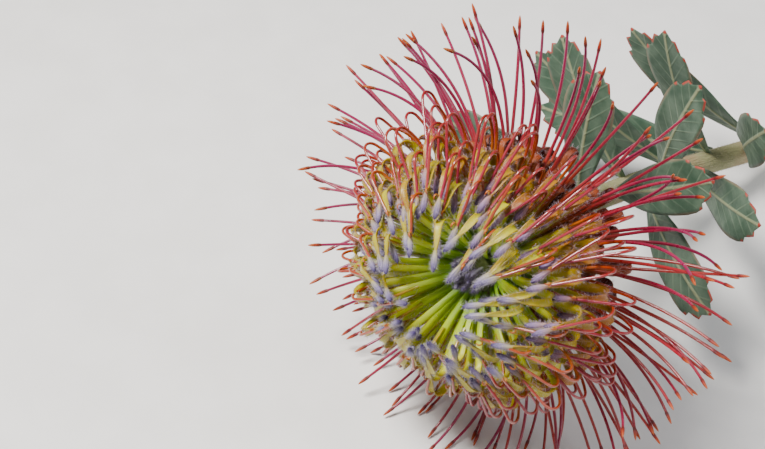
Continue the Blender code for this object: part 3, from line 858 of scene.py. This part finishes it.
def sprung(strands):
    """Those of the closed florets whose style has sprung: the youngest added ones are still shut."""
    return [
        strand
        for number, (place, strand) in enumerate(zip(closed_places, strands))
        if number < CLOSED_COUNT or claw_age(place[0]) > LAST_INSIDE
    ]


loop_strands = sprung([loop for _, _, loop in closed_strands])
loop_guide = guide("loop guide", loop_strands, {"width": THREAD, "thick": THREAD})
loop_finish = finish("style wax", paint_loop, **SOFT, Coat_Weight=0.8, Coat_Roughness=0.12)
loops = sweep.make("looped_styles", loop_guide, Sides=8, Finish=loop_finish)
mount(loops, "closed_floret", "closed_florets")
drop(loop_guide)


# Curled lips
# Where a style slips into its limb, a narrow orange lobe of the claw's end curls back like a hook.
# It is of the claw's own tissue, and one stands beside each limb's neck, on its left or right.
LIP_RADIUS = 0.75
LIP_RISE = 0.45
LIP_TURN = math.radians(260)
LIP_PITCH = 0.5
LIP_POINTS = 10
LIP_COLOURS = [
    (0.0, (0.38, 0.22, 0.01)),
    (0.6, (0.38, 0.10, 0.001)),
    (1.0, (0.28, 0.04, 0.01)),
]


def lip(limb, way):
    """A hook at the limb's neck: it leaves the neck outward and rolls back away from the limb."""
    neck = limb["points"][0]
    ahead = unit(limb["points"][1] - neck)
    out = unit(np.cross(limb["side"], ahead))
    aside = unit(limb["side"])
    angles = np.linspace(0, LIP_TURN, LIP_POINTS)[:, None]
    curl = LIP_RADIUS * ((1 - np.cos(angles)) * out - np.sin(angles) * ahead)
    drift = way * LIP_PITCH * angles / LIP_TURN * aside
    return {**limb, "points": neck + LIP_RISE * way * aside + curl + drift}


def paint_lip(graph):
    return {"Base Color": graph.ramp(graph.attribute("along"), LIP_COLOURS)}


lip_strands = [lip(limb, 1 if limb["tone"] > 0.5 else -1) for limb in sprung(limb_strands)]
lip_profiles = {"width": ((0.0, 0.6, 1.0), (0.8, 0.6, 0.3)), "thick": ((0.0, 1.0), (0.3, 0.22))}
lip_guide = guide("lip guide", lip_strands, lip_profiles)
lip_finish = finish("lip tissue", paint_lip, **SOFT, Roughness=0.4)
lips = sweep.make("curled_lips", lip_guide, Sides=6, Finish=lip_finish)
mount(lips, "closed_floret", "closed_florets")
drop(lip_guide)


# Young buds
# The youngest florets stand shut in the hollow at the top of the head.
# They are short, still straight and covered all over in purple-grey down.
BUD_LENGTH = 5.0
BUD_TOP_HEADING = math.radians(6)
BUD_FAN = math.radians(-60)
BUD_STRAIGHTENING = 0.8
BUD_LEAST = 0.85
BUD_JITTER = 0.06
BUD_EXTRA = 2
BUD_SPREAD = 0.14
BUD_COLOURS = [
    (0.3, (0.10, 0.16, 0.03)),
    (0.6, (0.14, 0.12, 0.14)),
    (0.95, (0.07, 0.05, 0.13)),
]


def bud(share, azimuth, jitter):
    heading = BUD_TOP_HEADING + BUD_FAN * share + HEADING_JITTER * jitter[0]
    start = core_point(share) - ROOT_DEPTH * step_along(heading)
    length = BUD_LENGTH * (BUD_LEAST + share + BUD_JITTER * jitter[1])
    points = trail(start, heading, [(ROOT_DEPTH + length, -BUD_STRAIGHTENING * heading, 14)])
    world, side = placed(points, azimuth, start, heading, 0)
    return {"points": world, "side": side, "age": 0.0, "tone": 0.5 + 0.5 * jitter[2]}


def paint_bud(graph):
    along, tone = graph.attribute("along"), graph.attribute("tone")
    down = graph.ramp(along, BUD_COLOURS)
    noise_field = graph.noise(graph.place(), 1500)["Fac"]
    colour = graph.mix(graph.spread(noise_field + tone * 0.2, 0.45, 0.8, 0, 0.5), down, (0.40, 0.36, 0.48))
    return {"Base Color": colour, "Normal": graph.bump(noise_field, 0.2)}


extra_buds = []
for number in range(BUD_EXTRA):
    share = BUD_SPREAD * math.sqrt((number + 0.5) / BUD_EXTRA)
    extra_buds.append((share, (number + 0.5) * GOLDEN_TURN, draws.uniform(-1, 1, 3)))
bud_strands = [bud(*place) for place in bud_places + extra_buds]
bud_widths = ((0.0, 0.5, 0.65, 0.82, 0.96, 1.0), (1.0, 1.0, 1.1, 1.5, 1.0, 0.4))
bud_profiles = {
    "width": bud_widths,
    "thick": bud_widths,
    "lobe": ((0.0, 0.5, 1.0), (0.0, 0.05, 0.15)),
    "fur": ((0.0, 0.4, 0.6), (0.0, 0.4, 1.0)),
}
bud_guide = guide("bud guide", bud_strands, bud_profiles)
bud_skin = finish("bud skin", paint_bud, Roughness=0.75)
buds = sweep.make("young_buds", bud_guide, Sides=12, Finish=bud_skin)
bud_hair = finish("bud hairs", paint_hair((0.18, 0.13, 0.24), (0.42, 0.34, 0.52)), Roughness=0.5)
bud_down = hairs_on(
    buds, "bud_hairs", bud_hair, density=1.6e7, length=0.95, thickness=0.05, lean=0.5, seed=4
)
mount(buds, "closed_floret", "closed_florets")
mount(bud_down, "closed_floret", "closed_florets")
drop(bud_guide)


# Open florets, their bare styles
# Once a style has sprung free it stands out long, smooth and bare, and bends in a little at its end.
# It is orange yellow at the foot, then red, with a waxy gloss. On many styles a painted magenta sheen is
# mixed into the red, most on one side of the head.
OPEN_STYLE_LENGTH = 54.0
OPEN_LENGTH_JITTER = 0.03
STRAIGHT_FOOT = 8.0
LOWER_SHARE = 0.45
LOWER_BEND = 0.25
INCURVE = math.radians(40)
INCURVE_JITTER = 0.5
OPEN_SWAY = 5.0
OPEN_ROLL_JITTER = math.radians(10)
# The side of the head whose styles take most of the painted magenta sheen, and how much more they take
# there.
SHEEN_SIDE = math.radians(135)
SHEEN_GAIN = 0.3
TONE_JITTER = 0.2
STYLE_RADIUS = 0.5
STYLE_REACH = 1.1 * STYLE_RADIUS
TIP_LENGTH = 3.8
TIP_STEPS = 6
CURL_ALONG = (11.0, 19.0)
CURL_RADIUS = 2.4
CURL_TURN = (math.radians(225), math.radians(305))
CURL_INNER_TURN = math.radians(150)
CURL_INNER_SHARE = 0.6
CURL_OFFSET = 0.35
CLAW_REACH = 1.3
CURL_REACH = 1.2
ROOM = 0.45
ASIDE_TURNS = [math.radians(1.5 * turn) for turn in (0, 1, -1, 2, -2, 3, -3, 4, -4, 5, -5, 6, -6)]
LEAN_TURNS = [math.radians(4 * turn) for turn in range(7)]
EXTRA_BENDS = [math.radians(0.25 * turn) for turn in range(360)]
RED_STYLE = [
    (0.08, (0.50, 0.26, 0.01)),
    (0.28, (0.40, 0.06, 0.004)),
    (0.5, (0.28, 0.01, 0.004)),
    (1.0, (0.32, 0.008, 0.005)),
]
# The styles' colours with a painted magenta sheen in their upper part.
MAGENTA_SHEEN_STYLE = [
    (0.08, (0.50, 0.28, 0.04)),
    (0.25, (0.40, 0.06, 0.02)),
    (0.5, (0.28, 0.008, 0.035)),
    (0.9, (0.26, 0.010, 0.07)),
]


def open_floret(share, azimuth, jitter, lean, extra_bend):
    """One open floret's bare style with its tip, and its rolled-back crook, as strands."""
    age = (share - OPEN_EDGE) / (LAST_OPEN - OPEN_EDGE)
    heading = open_heading(share) + HEADING_JITTER * jitter[0] + lean
    start = core_point(share) - ROOT_DEPTH * step_along(heading)
    incurve = -(INCURVE * (1 + INCURVE_JITTER * jitter[1]) + extra_bend)
    bare = OPEN_STYLE_LENGTH * (1 + OPEN_LENGTH_JITTER * jitter[2]) - STRAIGHT_FOOT - TIP_LENGTH
    runs = [
        (ROOT_DEPTH + STRAIGHT_FOOT, 0, 3),
        (LOWER_SHARE * bare, LOWER_BEND * incurve, 7),
        ((1 - LOWER_SHARE) * bare, (1 - LOWER_BEND) * incurve, 11),
        (TIP_LENGTH, 0, TIP_STEPS),
    ]
    roll = OPEN_ROLL_JITTER * jitter[3]
    style, side = placed(trail(start, heading, runs), azimuth, start, heading, roll)
    style = style + OPEN_SWAY * jitter[4] * travelled_shares(style)[:, None] ** 2 * side
    curl_share = 0.5 + 0.5 * jitter[4]
    turn = blend(CURL_TURN, curl_share)
    below = start + CURL_OFFSET * step_along(heading + math.pi / 2)
    runs = [
        (ROOT_DEPTH + blend(CURL_ALONG, curl_share), 0, 6),
        (CURL_RADIUS * turn, turn, 14),
        (CURL_INNER_SHARE * CURL_RADIUS * CURL_INNER_TURN, CURL_INNER_TURN, 8),
    ]
    curl, _ = placed(trail(below, heading, runs), azimuth, start, heading, roll)
    # The tone is random per floret and larger on one side of the head. On the styles it mixes in the
    # painted magenta sheen, and the tips and rolled crooks use the same tone.
    tone = 0.5 + TONE_JITTER * jitter[1] + SHEEN_GAIN * math.cos(azimuth - SHEEN_SIDE)
    shared = {"side": side, "age": age, "tone": tone}
    return {"points": style, **shared}, {"points": curl, **shared}


def resting_floret(share, azimuth, jitter, lean):
    """An open floret whose style bends further where it would go through the surface."""
    for extra_bend in EXTRA_BENDS:
        style, curl = open_floret(share, azimuth, jitter, lean, extra_bend)
        if style["points"][:, 2].min() > STYLE_REACH:
            return style, curl
    raise RuntimeError(f"the open floret at {share:.3f} goes through the surface")


def dense(points, step=1.2):
    """The same path with points no further apart than the step."""
    pieces = [points[-1:]]
    for first, second in zip(points[:-1], points[1:]):
        count = max(1, math.ceil(np.linalg.norm(second - first) / step))
        pieces.append(first + (second - first) * np.arange(count)[:, None] / count)
    return np.vstack(pieces)


def has_room(path, reach, crowd):
    others, reaches = crowd
    apart = np.linalg.norm(path[:, None] - others[None], axis=2) - reaches
    return apart.min() >= reach + ROOM


def fitted_floret(share, azimuth, jitter, crowd):
    """An open floret turned aside a little until it has room among the closed ones."""
    for lean in LEAN_TURNS:
        for aside in ASIDE_TURNS:
            style, curl = resting_floret(share, azimuth + aside, jitter, lean)
            if has_room(dense(style["points"]), STYLE_REACH, crowd):
                if has_room(dense(curl["points"]), CURL_REACH, crowd):
                    return style, curl
    return resting_floret(share, azimuth, jitter, 0)


def paint_open_style(graph):
    along, tone = graph.attribute("along"), graph.attribute("tone")
    # Painted sheen: the tone mixes the plain red colours towards those with a painted magenta sheen.
    red, magenta_sheen = graph.ramp(along, RED_STYLE), graph.ramp(along, MAGENTA_SHEEN_STYLE)
    colour = graph.mix(graph.spread(tone, 0.1, 0.7), red, magenta_sheen)
    return waxed(graph, colour, 420, (0.75, 0.5, 0.7), (0.26, 0.4))


crowd_paths, crowd_reaches = [], []
for claw, limb, loop in closed_strands[:CLOSED_COUNT]:
    for strand, reach in ((claw, CLAW_REACH), (limb, CLAW_REACH), (loop, STYLE_RADIUS)):
        crowd_paths.append(dense(strand["points"]))
        crowd_reaches.append(np.full(len(crowd_paths[-1]), reach))
crowd = (np.vstack(crowd_paths), np.concatenate(crowd_reaches))
open_florets = [fitted_floret(*place, crowd) for place in open_places]
open_strands = [style for style, _ in open_florets]
style_strands = [{**strand, "points": strand["points"][: 1 - TIP_STEPS]} for strand in open_strands]
taper = ((0.0, 0.2, 0.8, 1.0), (1.2, 1.0, 0.85, 0.75))
style_guide = guide("style guide", style_strands, {"width": taper, "thick": taper})
style_finish = finish("bare style wax", paint_open_style, **SOFT, Coat_Weight=0.5, Coat_Roughness=0.12)
styles = sweep.make("open_styles", style_guide, Sides=8, Finish=style_finish)
mount(styles, "open_floret", "open_florets")
drop(style_guide)


# Pollen presenters
# Each bare style ends in a slim pointed tip that offered the pollen, a little thicker than the style.
# A dark red collar marks its foot, and its sides are orange and finely ridged.
TIP_COLOURS = [
    (0.0, (0.24, 0.008, 0.02)),
    (0.2, (0.10, 0.002, 0.004)),
    (0.4, (0.26, 0.01, 0.002)),
    (0.9, (0.42, 0.07, 0.002)),
]


def paint_tip(graph):
    along, tone = graph.attribute("along"), graph.attribute("tone")
    colour = graph.ramp(along, TIP_COLOURS)
    dust = graph.noise(graph.place(), 3500)["Fac"]
    amount = graph.spread(dust + tone * 0.25, 0.72, 0.95, 0, 0.5)
    colour = graph.mix(amount, colour, (0.70, 0.42, 0.08))
    return {"Base Color": colour, "Normal": graph.bump(dust, 0.1)}


tip_strands = [{**strand, "points": strand["points"][-1 - TIP_STEPS :]} for strand in open_strands]
tip_widths = ((0.0, 0.08, 0.2, 0.6, 0.9, 1.0), (0.75, 0.95, 1.0, 0.85, 0.5, 0.2))
tip_profiles = {"width": tip_widths, "thick": tip_widths, "lobe": ((0.0, 0.3, 1.0), (0.0, 0.05, 0.03))}
tip_guide = guide("tip guide", tip_strands, tip_profiles)
tip_finish = finish("pollen tip", paint_tip, Roughness=0.45)
tips = sweep.make("pollen_tips", tip_guide, Sides=12, Finish=tip_finish)
mount(tips, "open_floret", "open_florets")
drop(tip_guide)


# Rolled-back crooks
# Where a style has sprung free, its floret's ribbon rolls back under it like a watch spring.
# Three of its lobes stay joined in one broad ribbon, and the fourth curls by itself.
FREE_CURL_ALONG = (6.0, 11.0)
FREE_CURL_LEAN = 0.2
FREE_CURL_RADIUS = 1.5
FREE_CURL_TURN = 5.2
FREE_CURL_TWIST = 0.5
FREE_CURL_JITTER = 0.3
FREE_CURL_OFFSET = 0.7
FREE_CURL_SIZE = 0.45
FRESH_CURL = [
    (0.1, (0.34, 0.24, 0.01)),
    (0.4, (0.34, 0.09, 0.002)),
    (0.7, (0.25, 0.035, 0.003)),
    (0.95, (0.18, 0.04, 0.05)),
]
DRY_CURL = [
    (0.1, (0.26, 0.14, 0.01)),
    (0.4, (0.25, 0.05, 0.003)),
    (0.7, (0.17, 0.025, 0.004)),
    (0.95, (0.12, 0.03, 0.035)),
]


def paint_curl(graph):
    along, age, tone = (graph.attribute(name) for name in ("along", "age", "tone"))
    fresh, dry = graph.ramp(along, FRESH_CURL), graph.ramp(along, DRY_CURL)
    colour = graph.mix(graph.spread(age + (tone - 0.5) * 0.8, 0.1, 1.0), fresh, dry)
    streak = streaks(graph, 6, 4, 1.8)
    colour = graph.mix(graph.spread(streak, 0.35, 0.7, 0.0, 0.6), colour, (0.7, 0.5, 0.4), "MULTIPLY")
    return {"Base Color": colour, "Roughness": 0.5, "Normal": graph.bump(streak, 0.2)}


def free_curl(jitter, strand):
    """The narrow lobe that rolls up by itself beside an open floret's style."""
    first, second = strand["points"][0], strand["points"][3]
    radial = unit(second - first)
    twist = (FREE_CURL_TWIST + FREE_CURL_JITTER * jitter[3]) * math.pi * (1 if jitter[4] > 0 else -1)
    aside = turned(np.cross(radial, strand["side"]), radial, twist)
    runs = [
        (blend(FREE_CURL_ALONG, abs(jitter[2])), FREE_CURL_LEAN, 5),
        (FREE_CURL_RADIUS * FREE_CURL_TURN, FREE_CURL_TURN, 16),
    ]
    flat = trail((0, 0), 0, runs)
    points = first + FREE_CURL_OFFSET * aside + flat[:, 1:] * radial + flat[:, :1] * aside
    return {**strand, "points": points, "side": np.cross(radial, aside), "size": FREE_CURL_SIZE}


free_strands = [free_curl(place[2], strand) for place, strand in zip(open_places, open_strands)]
curl_profiles = {
    "width": ((0.0, 0.2, 0.7, 0.9, 1.0), (1.9, 2.4, 2.4, 2.0, 1.2)),
    "thick": ((0.0, 1.0), (0.4, 0.4)),
    "cup": ((0.0, 0.3, 0.7, 1.0), (0.4, 0.5, 0.25, 0.3)),
    "fur": ((0.0, 0.3, 0.6, 0.8), (0.0, 0.1, 0.5, 1.0)),
}
curl_strands = [curl for _, curl in open_florets] + free_strands
curl_guide = guide("curl guide", curl_strands, curl_profiles)
curl_finish = finish("rolled tissue", paint_curl, **SOFT)
curls = sweep.make("rolled_crooks", curl_guide, Sides=10, Finish=curl_finish)
curl_hairs = hairs_on(
    curls, "curl_hairs", pale_hair, density=3.0e6, length=1.3, thickness=0.065, lean=0.3, seed=6
)
mount(curls, "open_floret", "open_florets")
mount(curl_hairs, "open_floret", "open_florets")
drop(curl_guide)


# Bract cup
# Small downy bracts overlap like scales on the cup under the head.
# Each is a leathery pointed scale with a fringe of hairs, rust brown at its tip.
GAP = 0.3
CUP_DEPTH = 9.0
CUP_FOOT_RADIUS = 4.2
CUP_TOP_RADIUS = CORE_RADIUS - 0.4
CUP_BULGE = 0.8
CUP_LEVELS = 12
CUP_SIDES = 40
BRACT_COUNT = 64
BRACT_FOOT = (0.95, 0.70)
BRACT_TIP = (0.55, 0.17)
BRACT_SUNK = 0.8
BRACT_FLARE = 1.5
BRACT_BULGE = np.array([0.9, -0.5])
BRACT_POINTS = 9
BRACT_COLOURS = [
    (0.2, (0.20, 0.20, 0.09)),
    (0.6, (0.34, 0.30, 0.15)),
    (0.85, (0.34, 0.16, 0.08)),
    (1.0, (0.18, 0.06, 0.03)),
]


def paint_bract(graph):
    along, tone = graph.attribute("along"), graph.attribute("tone")
    colour = graph.ramp(along, BRACT_COLOURS)
    felt = graph.noise(graph.place(), 1600)["Fac"]
    colour = graph.mix(graph.spread(felt + tone * 0.2, 0.4, 0.8, 0, 0.6), colour, (0.50, 0.46, 0.36))
    return {"Base Color": colour, "Normal": graph.bump(felt, 0.25)}


def cup_radius(depth_share):
    return blend((CUP_TOP_RADIUS, CUP_FOOT_RADIUS), depth_share)


def bract(number):
    share = (number + 0.5) / BRACT_COUNT
    low, high = blend(BRACT_FOOT, share), blend(BRACT_TIP, share)
    foot = np.array([cup_radius(low) - BRACT_SUNK, -GAP - low * CUP_DEPTH])
    tip = np.array([cup_radius(high) + BRACT_FLARE, -GAP - high * CUP_DEPTH])
    middle = (foot + tip) / 2 + BRACT_BULGE
    at = np.linspace(0, 1, BRACT_POINTS)[:, None]
    curve = (1 - at) ** 2 * foot + 2 * at * (1 - at) * middle + at**2 * tip
    world, side = placed(curve, number * GOLDEN_TURN, foot, 0, 0)
    return {"points": world, "side": side, "age": share, "tone": draws.uniform(0, 1)}


cup_profile = []
for level in range(CUP_LEVELS + 1):
    depth = 1 - level / CUP_LEVELS
    bulge = CUP_BULGE * math.sin(math.pi * level / CUP_LEVELS)
    cup_profile.append((cup_radius(depth) + bulge, -GAP - depth * CUP_DEPTH))
cup = turned_mesh("cup", cup_profile, CUP_SIDES)
cup.data.shade_smooth()
cup.data.materials.append(finish("cup bark", paint_wool, Roughness=0.9))
bract_profiles = {
    "width": ((0.0, 0.3, 0.6, 0.85, 1.0), (2.6, 3.8, 3.6, 1.8, 0.3)),
    "thick": ((0.0, 0.7, 1.0), (0.8, 0.6, 0.3)),
    "cup": ((0.0, 1.0), (-0.5, -0.3)),
    "fur": ((0.0, 0.3, 1.0), (0.0, 0.4, 1.0)),
}
bract_guide = guide("bract guide", [bract(number) for number in range(BRACT_COUNT)], bract_profiles)
bract_finish = finish("bract felt", paint_bract, Roughness=0.8)
bracts = sweep.make("bracts", bract_guide, Sides=10, Finish=bract_finish)
bract_hair = finish("bract hairs", paint_hair((0.40, 0.36, 0.26), (0.70, 0.66, 0.56)), Roughness=0.6)
bract_fringe = hairs_on(
    bracts, "bract_hairs", bract_hair, density=5.0e6, length=0.8, thickness=0.08, lean=0.9, seed=7
)
for piece in (cup, bracts, bract_fringe):
    mount(piece, "bract", "bract_cup")
drop(bract_guide)


# Stem
# A woody stem under fine grey down, flushed pink on top, that runs from the cup to its clean cut.
# The cut shows pale wood round a darker pith, inside a thin green rind.
STEM_RADIUS = 3.5
STEM_END_OFFSET = np.array([30.0, 143.0])
STEM_END_HEADING = np.array([0.36, 0.92, -0.15])
STEM_HANDLE = 45.0
STEM_STEPS = 70
STEM_SIDES = 28
STEM_SWELLS = np.array([2.2, 2.0, 1.94, 2.0])
CUT_RINGS = (0.25, 0.5, 0.75, 0.93)
CUT_PROUD = 0.05
CUT_SUNK = 0.3
CUT_COLOURS = [
    (0.12, (0.42, 0.33, 0.17)),
    (0.2, (0.74, 0.66, 0.42)),
    (0.8, (0.66, 0.60, 0.34)),
    (0.9, (0.20, 0.26, 0.08)),
]


def paint_bark(graph):
    along = graph.attribute("along")
    lines = graph.direction("section") * (3, 3, 1) + graph.vector(0, 0, along * 14)
    grain = graph.noise(lines, 2.5)["Fac"]
    colour = graph.mix(grain, (0.20, 0.22, 0.09), (0.40, 0.36, 0.20))
    blush = graph.noise(graph.place(), 70)["Fac"]
    colour = graph.mix(graph.spread(blush, 0.45, 0.7, 0, 0.5), colour, (0.42, 0.20, 0.13))
    height = grain + graph.noise(graph.place(), 1200)["Fac"] * 0.4
    return {"Base Color": colour, "Normal": graph.bump(height, 0.5)}


def paint_cut(graph):
    colour = graph.ramp(graph.attribute("along"), CUT_COLOURS)
    fleck = graph.noise(graph.place(), 2600)["Fac"]
    colour = graph.mix(graph.spread(fleck, 0.5, 0.7, 0, 0.5), colour, (0.45, 0.36, 0.2), "MULTIPLY")
    return {"Base Color": colour, "Normal": graph.bump(fleck, 0.15)}


def stem_line(steps):
    """Points down the middle of the stem, from the cup to the cut end."""
    start = HEAD_AT - (2 * GAP + CUP_DEPTH) * AXIS
    end = np.array([*(HEAD_AT[:2] + STEM_END_OFFSET), STEM_RADIUS])
    second = start - STEM_HANDLE * AXIS
    third = end - STEM_HANDLE * unit(STEM_END_HEADING)
    at = np.linspace(0, 1, steps + 1)[:, None]
    rest = 1 - at
    return rest**3 * start + 3 * rest**2 * at * second + 3 * rest * at**2 * third + at**3 * end


def cut_disc(end, way):
    """The cut face: rings from the middle to the rim, closed behind by a shallow cone."""
    rim_side = unit(np.cross(way, (0, 0, 1)))
    points, shares = [end + CUT_PROUD * way], [0]
    for radius in CUT_RINGS:
        for step in range(STEM_SIDES):
            spoke = turned(rim_side, way, 2 * math.pi * step / STEM_SIDES)
            points.append(end + CUT_PROUD * way + radius * STEM_RADIUS * spoke)
            shares.append(radius)
    points.append(end - CUT_SUNK * way)
    shares.append(1)
    steps = [(step, (step + 1) % STEM_SIDES) for step in range(STEM_SIDES)]
    faces = [[0, 1 + step, 1 + following] for step, following in steps]
    for ring in range(len(CUT_RINGS) - 1):
        near, far = 1 + ring * STEM_SIDES, 1 + (ring + 1) * STEM_SIDES
        for step, following in steps:
            faces.append([near + step, far + step, far + following, near + following])
    back = len(points) - 1
    rim = back - STEM_SIDES
    faces += [[rim + step, back, rim + following] for step, following in steps]
    return points, faces, shares


stem_path = stem_line(STEM_STEPS)
stem_strand = {"points": stem_path, "side": ACROSS, "age": 0.5, "tone": 0.5}
stem_widths = ((0.0, 0.04, 0.12, 1.0), STEM_SWELLS * STEM_RADIUS)
stem_profiles = {
    "width": stem_widths,
    "thick": stem_widths,
    "fur": ((0.0, 0.94, 0.97, 1.0), (1.0, 1.0, 0.0, 0.0)),
}
stem_guide = guide("stem guide", [stem_strand], stem_profiles)
bark_finish = finish("bark", paint_bark, Roughness=0.75)
stem = sweep.make("stem_bark", stem_guide, Sides=STEM_SIDES, Finish=bark_finish)
stem_down = hairs_on(
    stem, "stem_hairs", bract_hair, density=2.2e6, length=0.6, thickness=0.07, lean=-0.5, seed=8
)
cut_points, cut_faces, cut_shares = cut_disc(stem_path[-1], unit(stem_path[-1] - stem_path[-2]))
cut_face = plain_object("cut_face", cut_points, cut_faces)
add_attribute(cut_face, "along", np.array(cut_shares))
cut_face.data.materials.append(finish("cut wood", paint_cut, Roughness=0.7))
for piece in (stem, stem_down, cut_face):
    mount(piece, "stem", "stem")
drop(stem_guide)


# Leaves
# Leathery grey-green leaves clasp the stem, each with a few blunt teeth at its end.
# Every tooth ends in a hard red-brown point, and a pale midrib sends slanting veins to the edge.
LEAF_COUNT = 12
LEAF_FIRST = 22.0
LEAF_STEP = 7.8
LEAF_LENGTH = (44.0, 56.0)
LEAF_HALF_WIDTH = 7.8
LEAF_THICK = 0.6
LEAF_SEAT_THICK = 0.8
LEAF_TURN_SHARE = 0.6
LEAF_SPREAD = (math.radians(76), math.radians(46))
LEAF_RECURVE = math.radians(24)
LEAF_FOLD = 0.12
LEAF_STEPS = 24
LEAF_BROADEST = 0.74
LEAF_FOOT_WIDTH = 0.2
LEAF_WAVE = 0.5
RIB_HEIGHT = 0.5
RIB_HALF_WIDTH = 0.7
EDGE_THINNING = 0.6
TOOTH_SLANT = 0.025
TOOTH_POINT_ROWS = 2
# Where a cross line leaves the midrib, where it meets the toothed edge, and its half width
LEAF_TEETH = [
    (0.74, 0.74, 1.0),
    (0.80, 0.815, 0.96),
    (0.84, 0.87, 0.86),
    (0.868, 0.872, 0.68),
    (0.875, 0.915, 0.60),
    (0.885, 0.955, 0.5),
    (0.93, 0.95, 0.3),
    (0.96, 0.975, 0.16),
    (0.995, 0.998, 0.03),
]
LEAF_ACROSS = 12
SMOOTH_ROWS = 22


def leaf_rows():
    """Cross lines of the blade: smooth up to its broadest place, then down through the teeth."""
    rows = []
    for at in np.linspace(0, LEAF_BROADEST, SMOOTH_ROWS)[:-1]:
        rise = math.sin(math.pi / 2 * at / LEAF_BROADEST) ** 1.15
        rows.append((at, at, blend((LEAF_FOOT_WIDTH, 1.0), rise)))
    for first, second in zip(LEAF_TEETH[:-1], LEAF_TEETH[1:]):
        pair = (np.array(first), np.array(second))
        rows += [tuple(blend(pair, share)) for share in (0, 1 / 3, 2 / 3)]
    return rows + [LEAF_TEETH[-1]]


def leaf_seat(index):
    """Where on the stem a leaf sits: the point, the way to the head and the way out."""
    line = stem_line(10 * STEM_STEPS)
    travelled = np.concatenate([[0], np.cumsum(np.linalg.norm(np.diff(line, axis=0), axis=1))])
    here = LEAF_FIRST + LEAF_STEP * index
    seat, ahead = [
        np.array([np.interp(distance, travelled, line[:, axis]) for axis in range(3)])
        for distance in (here, here - 1)
    ]
    forward = unit(ahead - seat)
    up = unit(np.array([0.0, 0.0, 1.0]) - forward[2] * forward)
    wrapped = (index * GOLDEN_TURN + math.pi) % (2 * math.pi) - math.pi
    around = LEAF_TURN_SHARE * wrapped
    return seat, forward, math.cos(around) * up + math.sin(around) * np.cross(forward, up)


def leaf_blade(index):
    """Both faces of one leaf and the rim between them, with along and across values for the veins."""
    seat, forward, outward = leaf_seat(index)
    side = np.cross(outward, forward)
    share = index / (LEAF_COUNT - 1)
    spread = blend(LEAF_SPREAD, share)
    base = (STEM_RADIUS + GAP + 0.5 * LEAF_SEAT_THICK * math.cos(spread), 0)
    first_heading = spread - LEAF_RECURVE / 2
    path = trail(base, first_heading, [(blend(LEAF_LENGTH, share), LEAF_RECURVE, LEAF_STEPS)])
    stops = np.linspace(0, 1, LEAF_STEPS + 1)
    headings = first_heading + LEAF_RECURVE * stops
    rows, columns = leaf_rows(), np.linspace(-1, 1, LEAF_ACROSS + 1)
    points, along, across, tooth = [], [], [], []
    for layer in (1, -1):
        for middle_at, edge_at, width in rows:
            for column in columns:
                at = middle_at + (edge_at - middle_at) * abs(column)
                half_width = width * LEAF_HALF_WIDTH * column
                heading = np.interp(at, stops, headings)
                normal = math.cos(heading) * outward - math.sin(heading) * forward
                out_by, forward_by = (np.interp(at, stops, path[:, axis]) for axis in (0, 1))
                middle = seat + out_by * outward + forward_by * forward
                wave = math.sin(9 * at + 2 * column + 3 * index) * math.sin(math.pi * at)
                rib = RIB_HEIGHT * math.exp(-((half_width / RIB_HALF_WIDTH) ** 2)) * (1 - at)
                thick = LEAF_THICK * (1 - EDGE_THINNING * abs(column) ** 3)
                height = 0.5 * layer * thick - LEAF_FOLD * abs(half_width) + LEAF_WAVE * column**2 * wave
                height -= rib if layer < 0 else 0
                points.append(middle + half_width * side + height * normal)
                along.append(at)
                across.append(column * width)
                tooth.append(abs(column) ** 6 if edge_at - middle_at > TOOTH_SLANT else 0)
        point_values = (LEAF_ACROSS + 1) * TOOTH_POINT_ROWS
        tooth[-point_values:] = [1.0] * point_values
    width, layer_size = LEAF_ACROSS + 1, len(points) // 2
    faces = []
    for row in range(len(rows) - 1):
        for column in range(LEAF_ACROSS):
            corner = row * width + column
            faces.append([corner, corner + width, corner + width + 1, corner + 1])
    faces += [[corner + layer_size for corner in face[::-1]] for face in faces]
    last = (len(rows) - 1) * width
    rim = [row * width for row in range(len(rows))] + list(range(last + 1, last + width))
    rim += [row * width + LEAF_ACROSS for row in range(len(rows) - 2, -1, -1)]
    rim += list(range(LEAF_ACROSS - 1, 0, -1))
    for first, second in zip(rim, rim[1:] + rim[:1]):
        faces.append([second, first, first + layer_size, second + layer_size])
    return points, faces, {"along": along, "across": across, "tooth": tooth}


def paint_leaf(graph):
    along, across, tooth = (graph.attribute(name) for name in ("along", "across", "tooth"))
    distance = across.maths("ABSOLUTE", across)
    wobble = graph.noise(graph.place(), 90)["Fac"]
    slant = (along - distance * 0.22 + wobble * 0.02) * 60
    vein = graph.spread(slant.maths("SINE", slant), 0.75, 1.0)
    vein = vein * graph.spread(distance, 0.02, 0.9, 1.0, 0.2)
    midrib = graph.spread(distance, 0.02, 0.09, 1.0, 0.0)
    bloom = graph.noise(graph.place(), 160, 4.0)["Fac"]
    colour = graph.mix(graph.spread(bloom, 0.3, 0.7), (0.03, 0.07, 0.04), (0.085, 0.14, 0.09))
    colour = graph.mix(vein * 0.35, colour, (0.20, 0.27, 0.17))
    colour = graph.mix(midrib * 0.7, colour, (0.32, 0.34, 0.18))
    edge = graph.spread(distance, 0.86, 1.0, 0, 0.35)
    colour = graph.mix(edge, colour, (0.40, 0.20, 0.12))
    colour = graph.mix(graph.spread(tooth, 0.35, 0.9), colour, (0.34, 0.035, 0.02))
    height = midrib * 0.6 + vein * 0.35 + graph.noise(graph.place(), 1400)["Fac"] * 0.12
    rough = graph.spread(bloom, 0.3, 0.7, 0.62, 0.5)
    return {"Base Color": colour, "Roughness": rough, "Normal": graph.bump(height, 0.3)}


leaf_finish = finish("leaf wax", paint_leaf)
for index in range(LEAF_COUNT):
    points, faces, values = leaf_blade(index)
    node_name = f"leaf_{index + 1:02d}"
    leaf = plain_object(f"blade_{index + 1:02d}", points, faces)
    leaf.data.shade_smooth()
    for key, numbers in values.items():
        add_attribute(leaf, key, np.array(numbers))
    leaf.data.materials.append(leaf_finish)
    mount(leaf, "leaf", node_name)
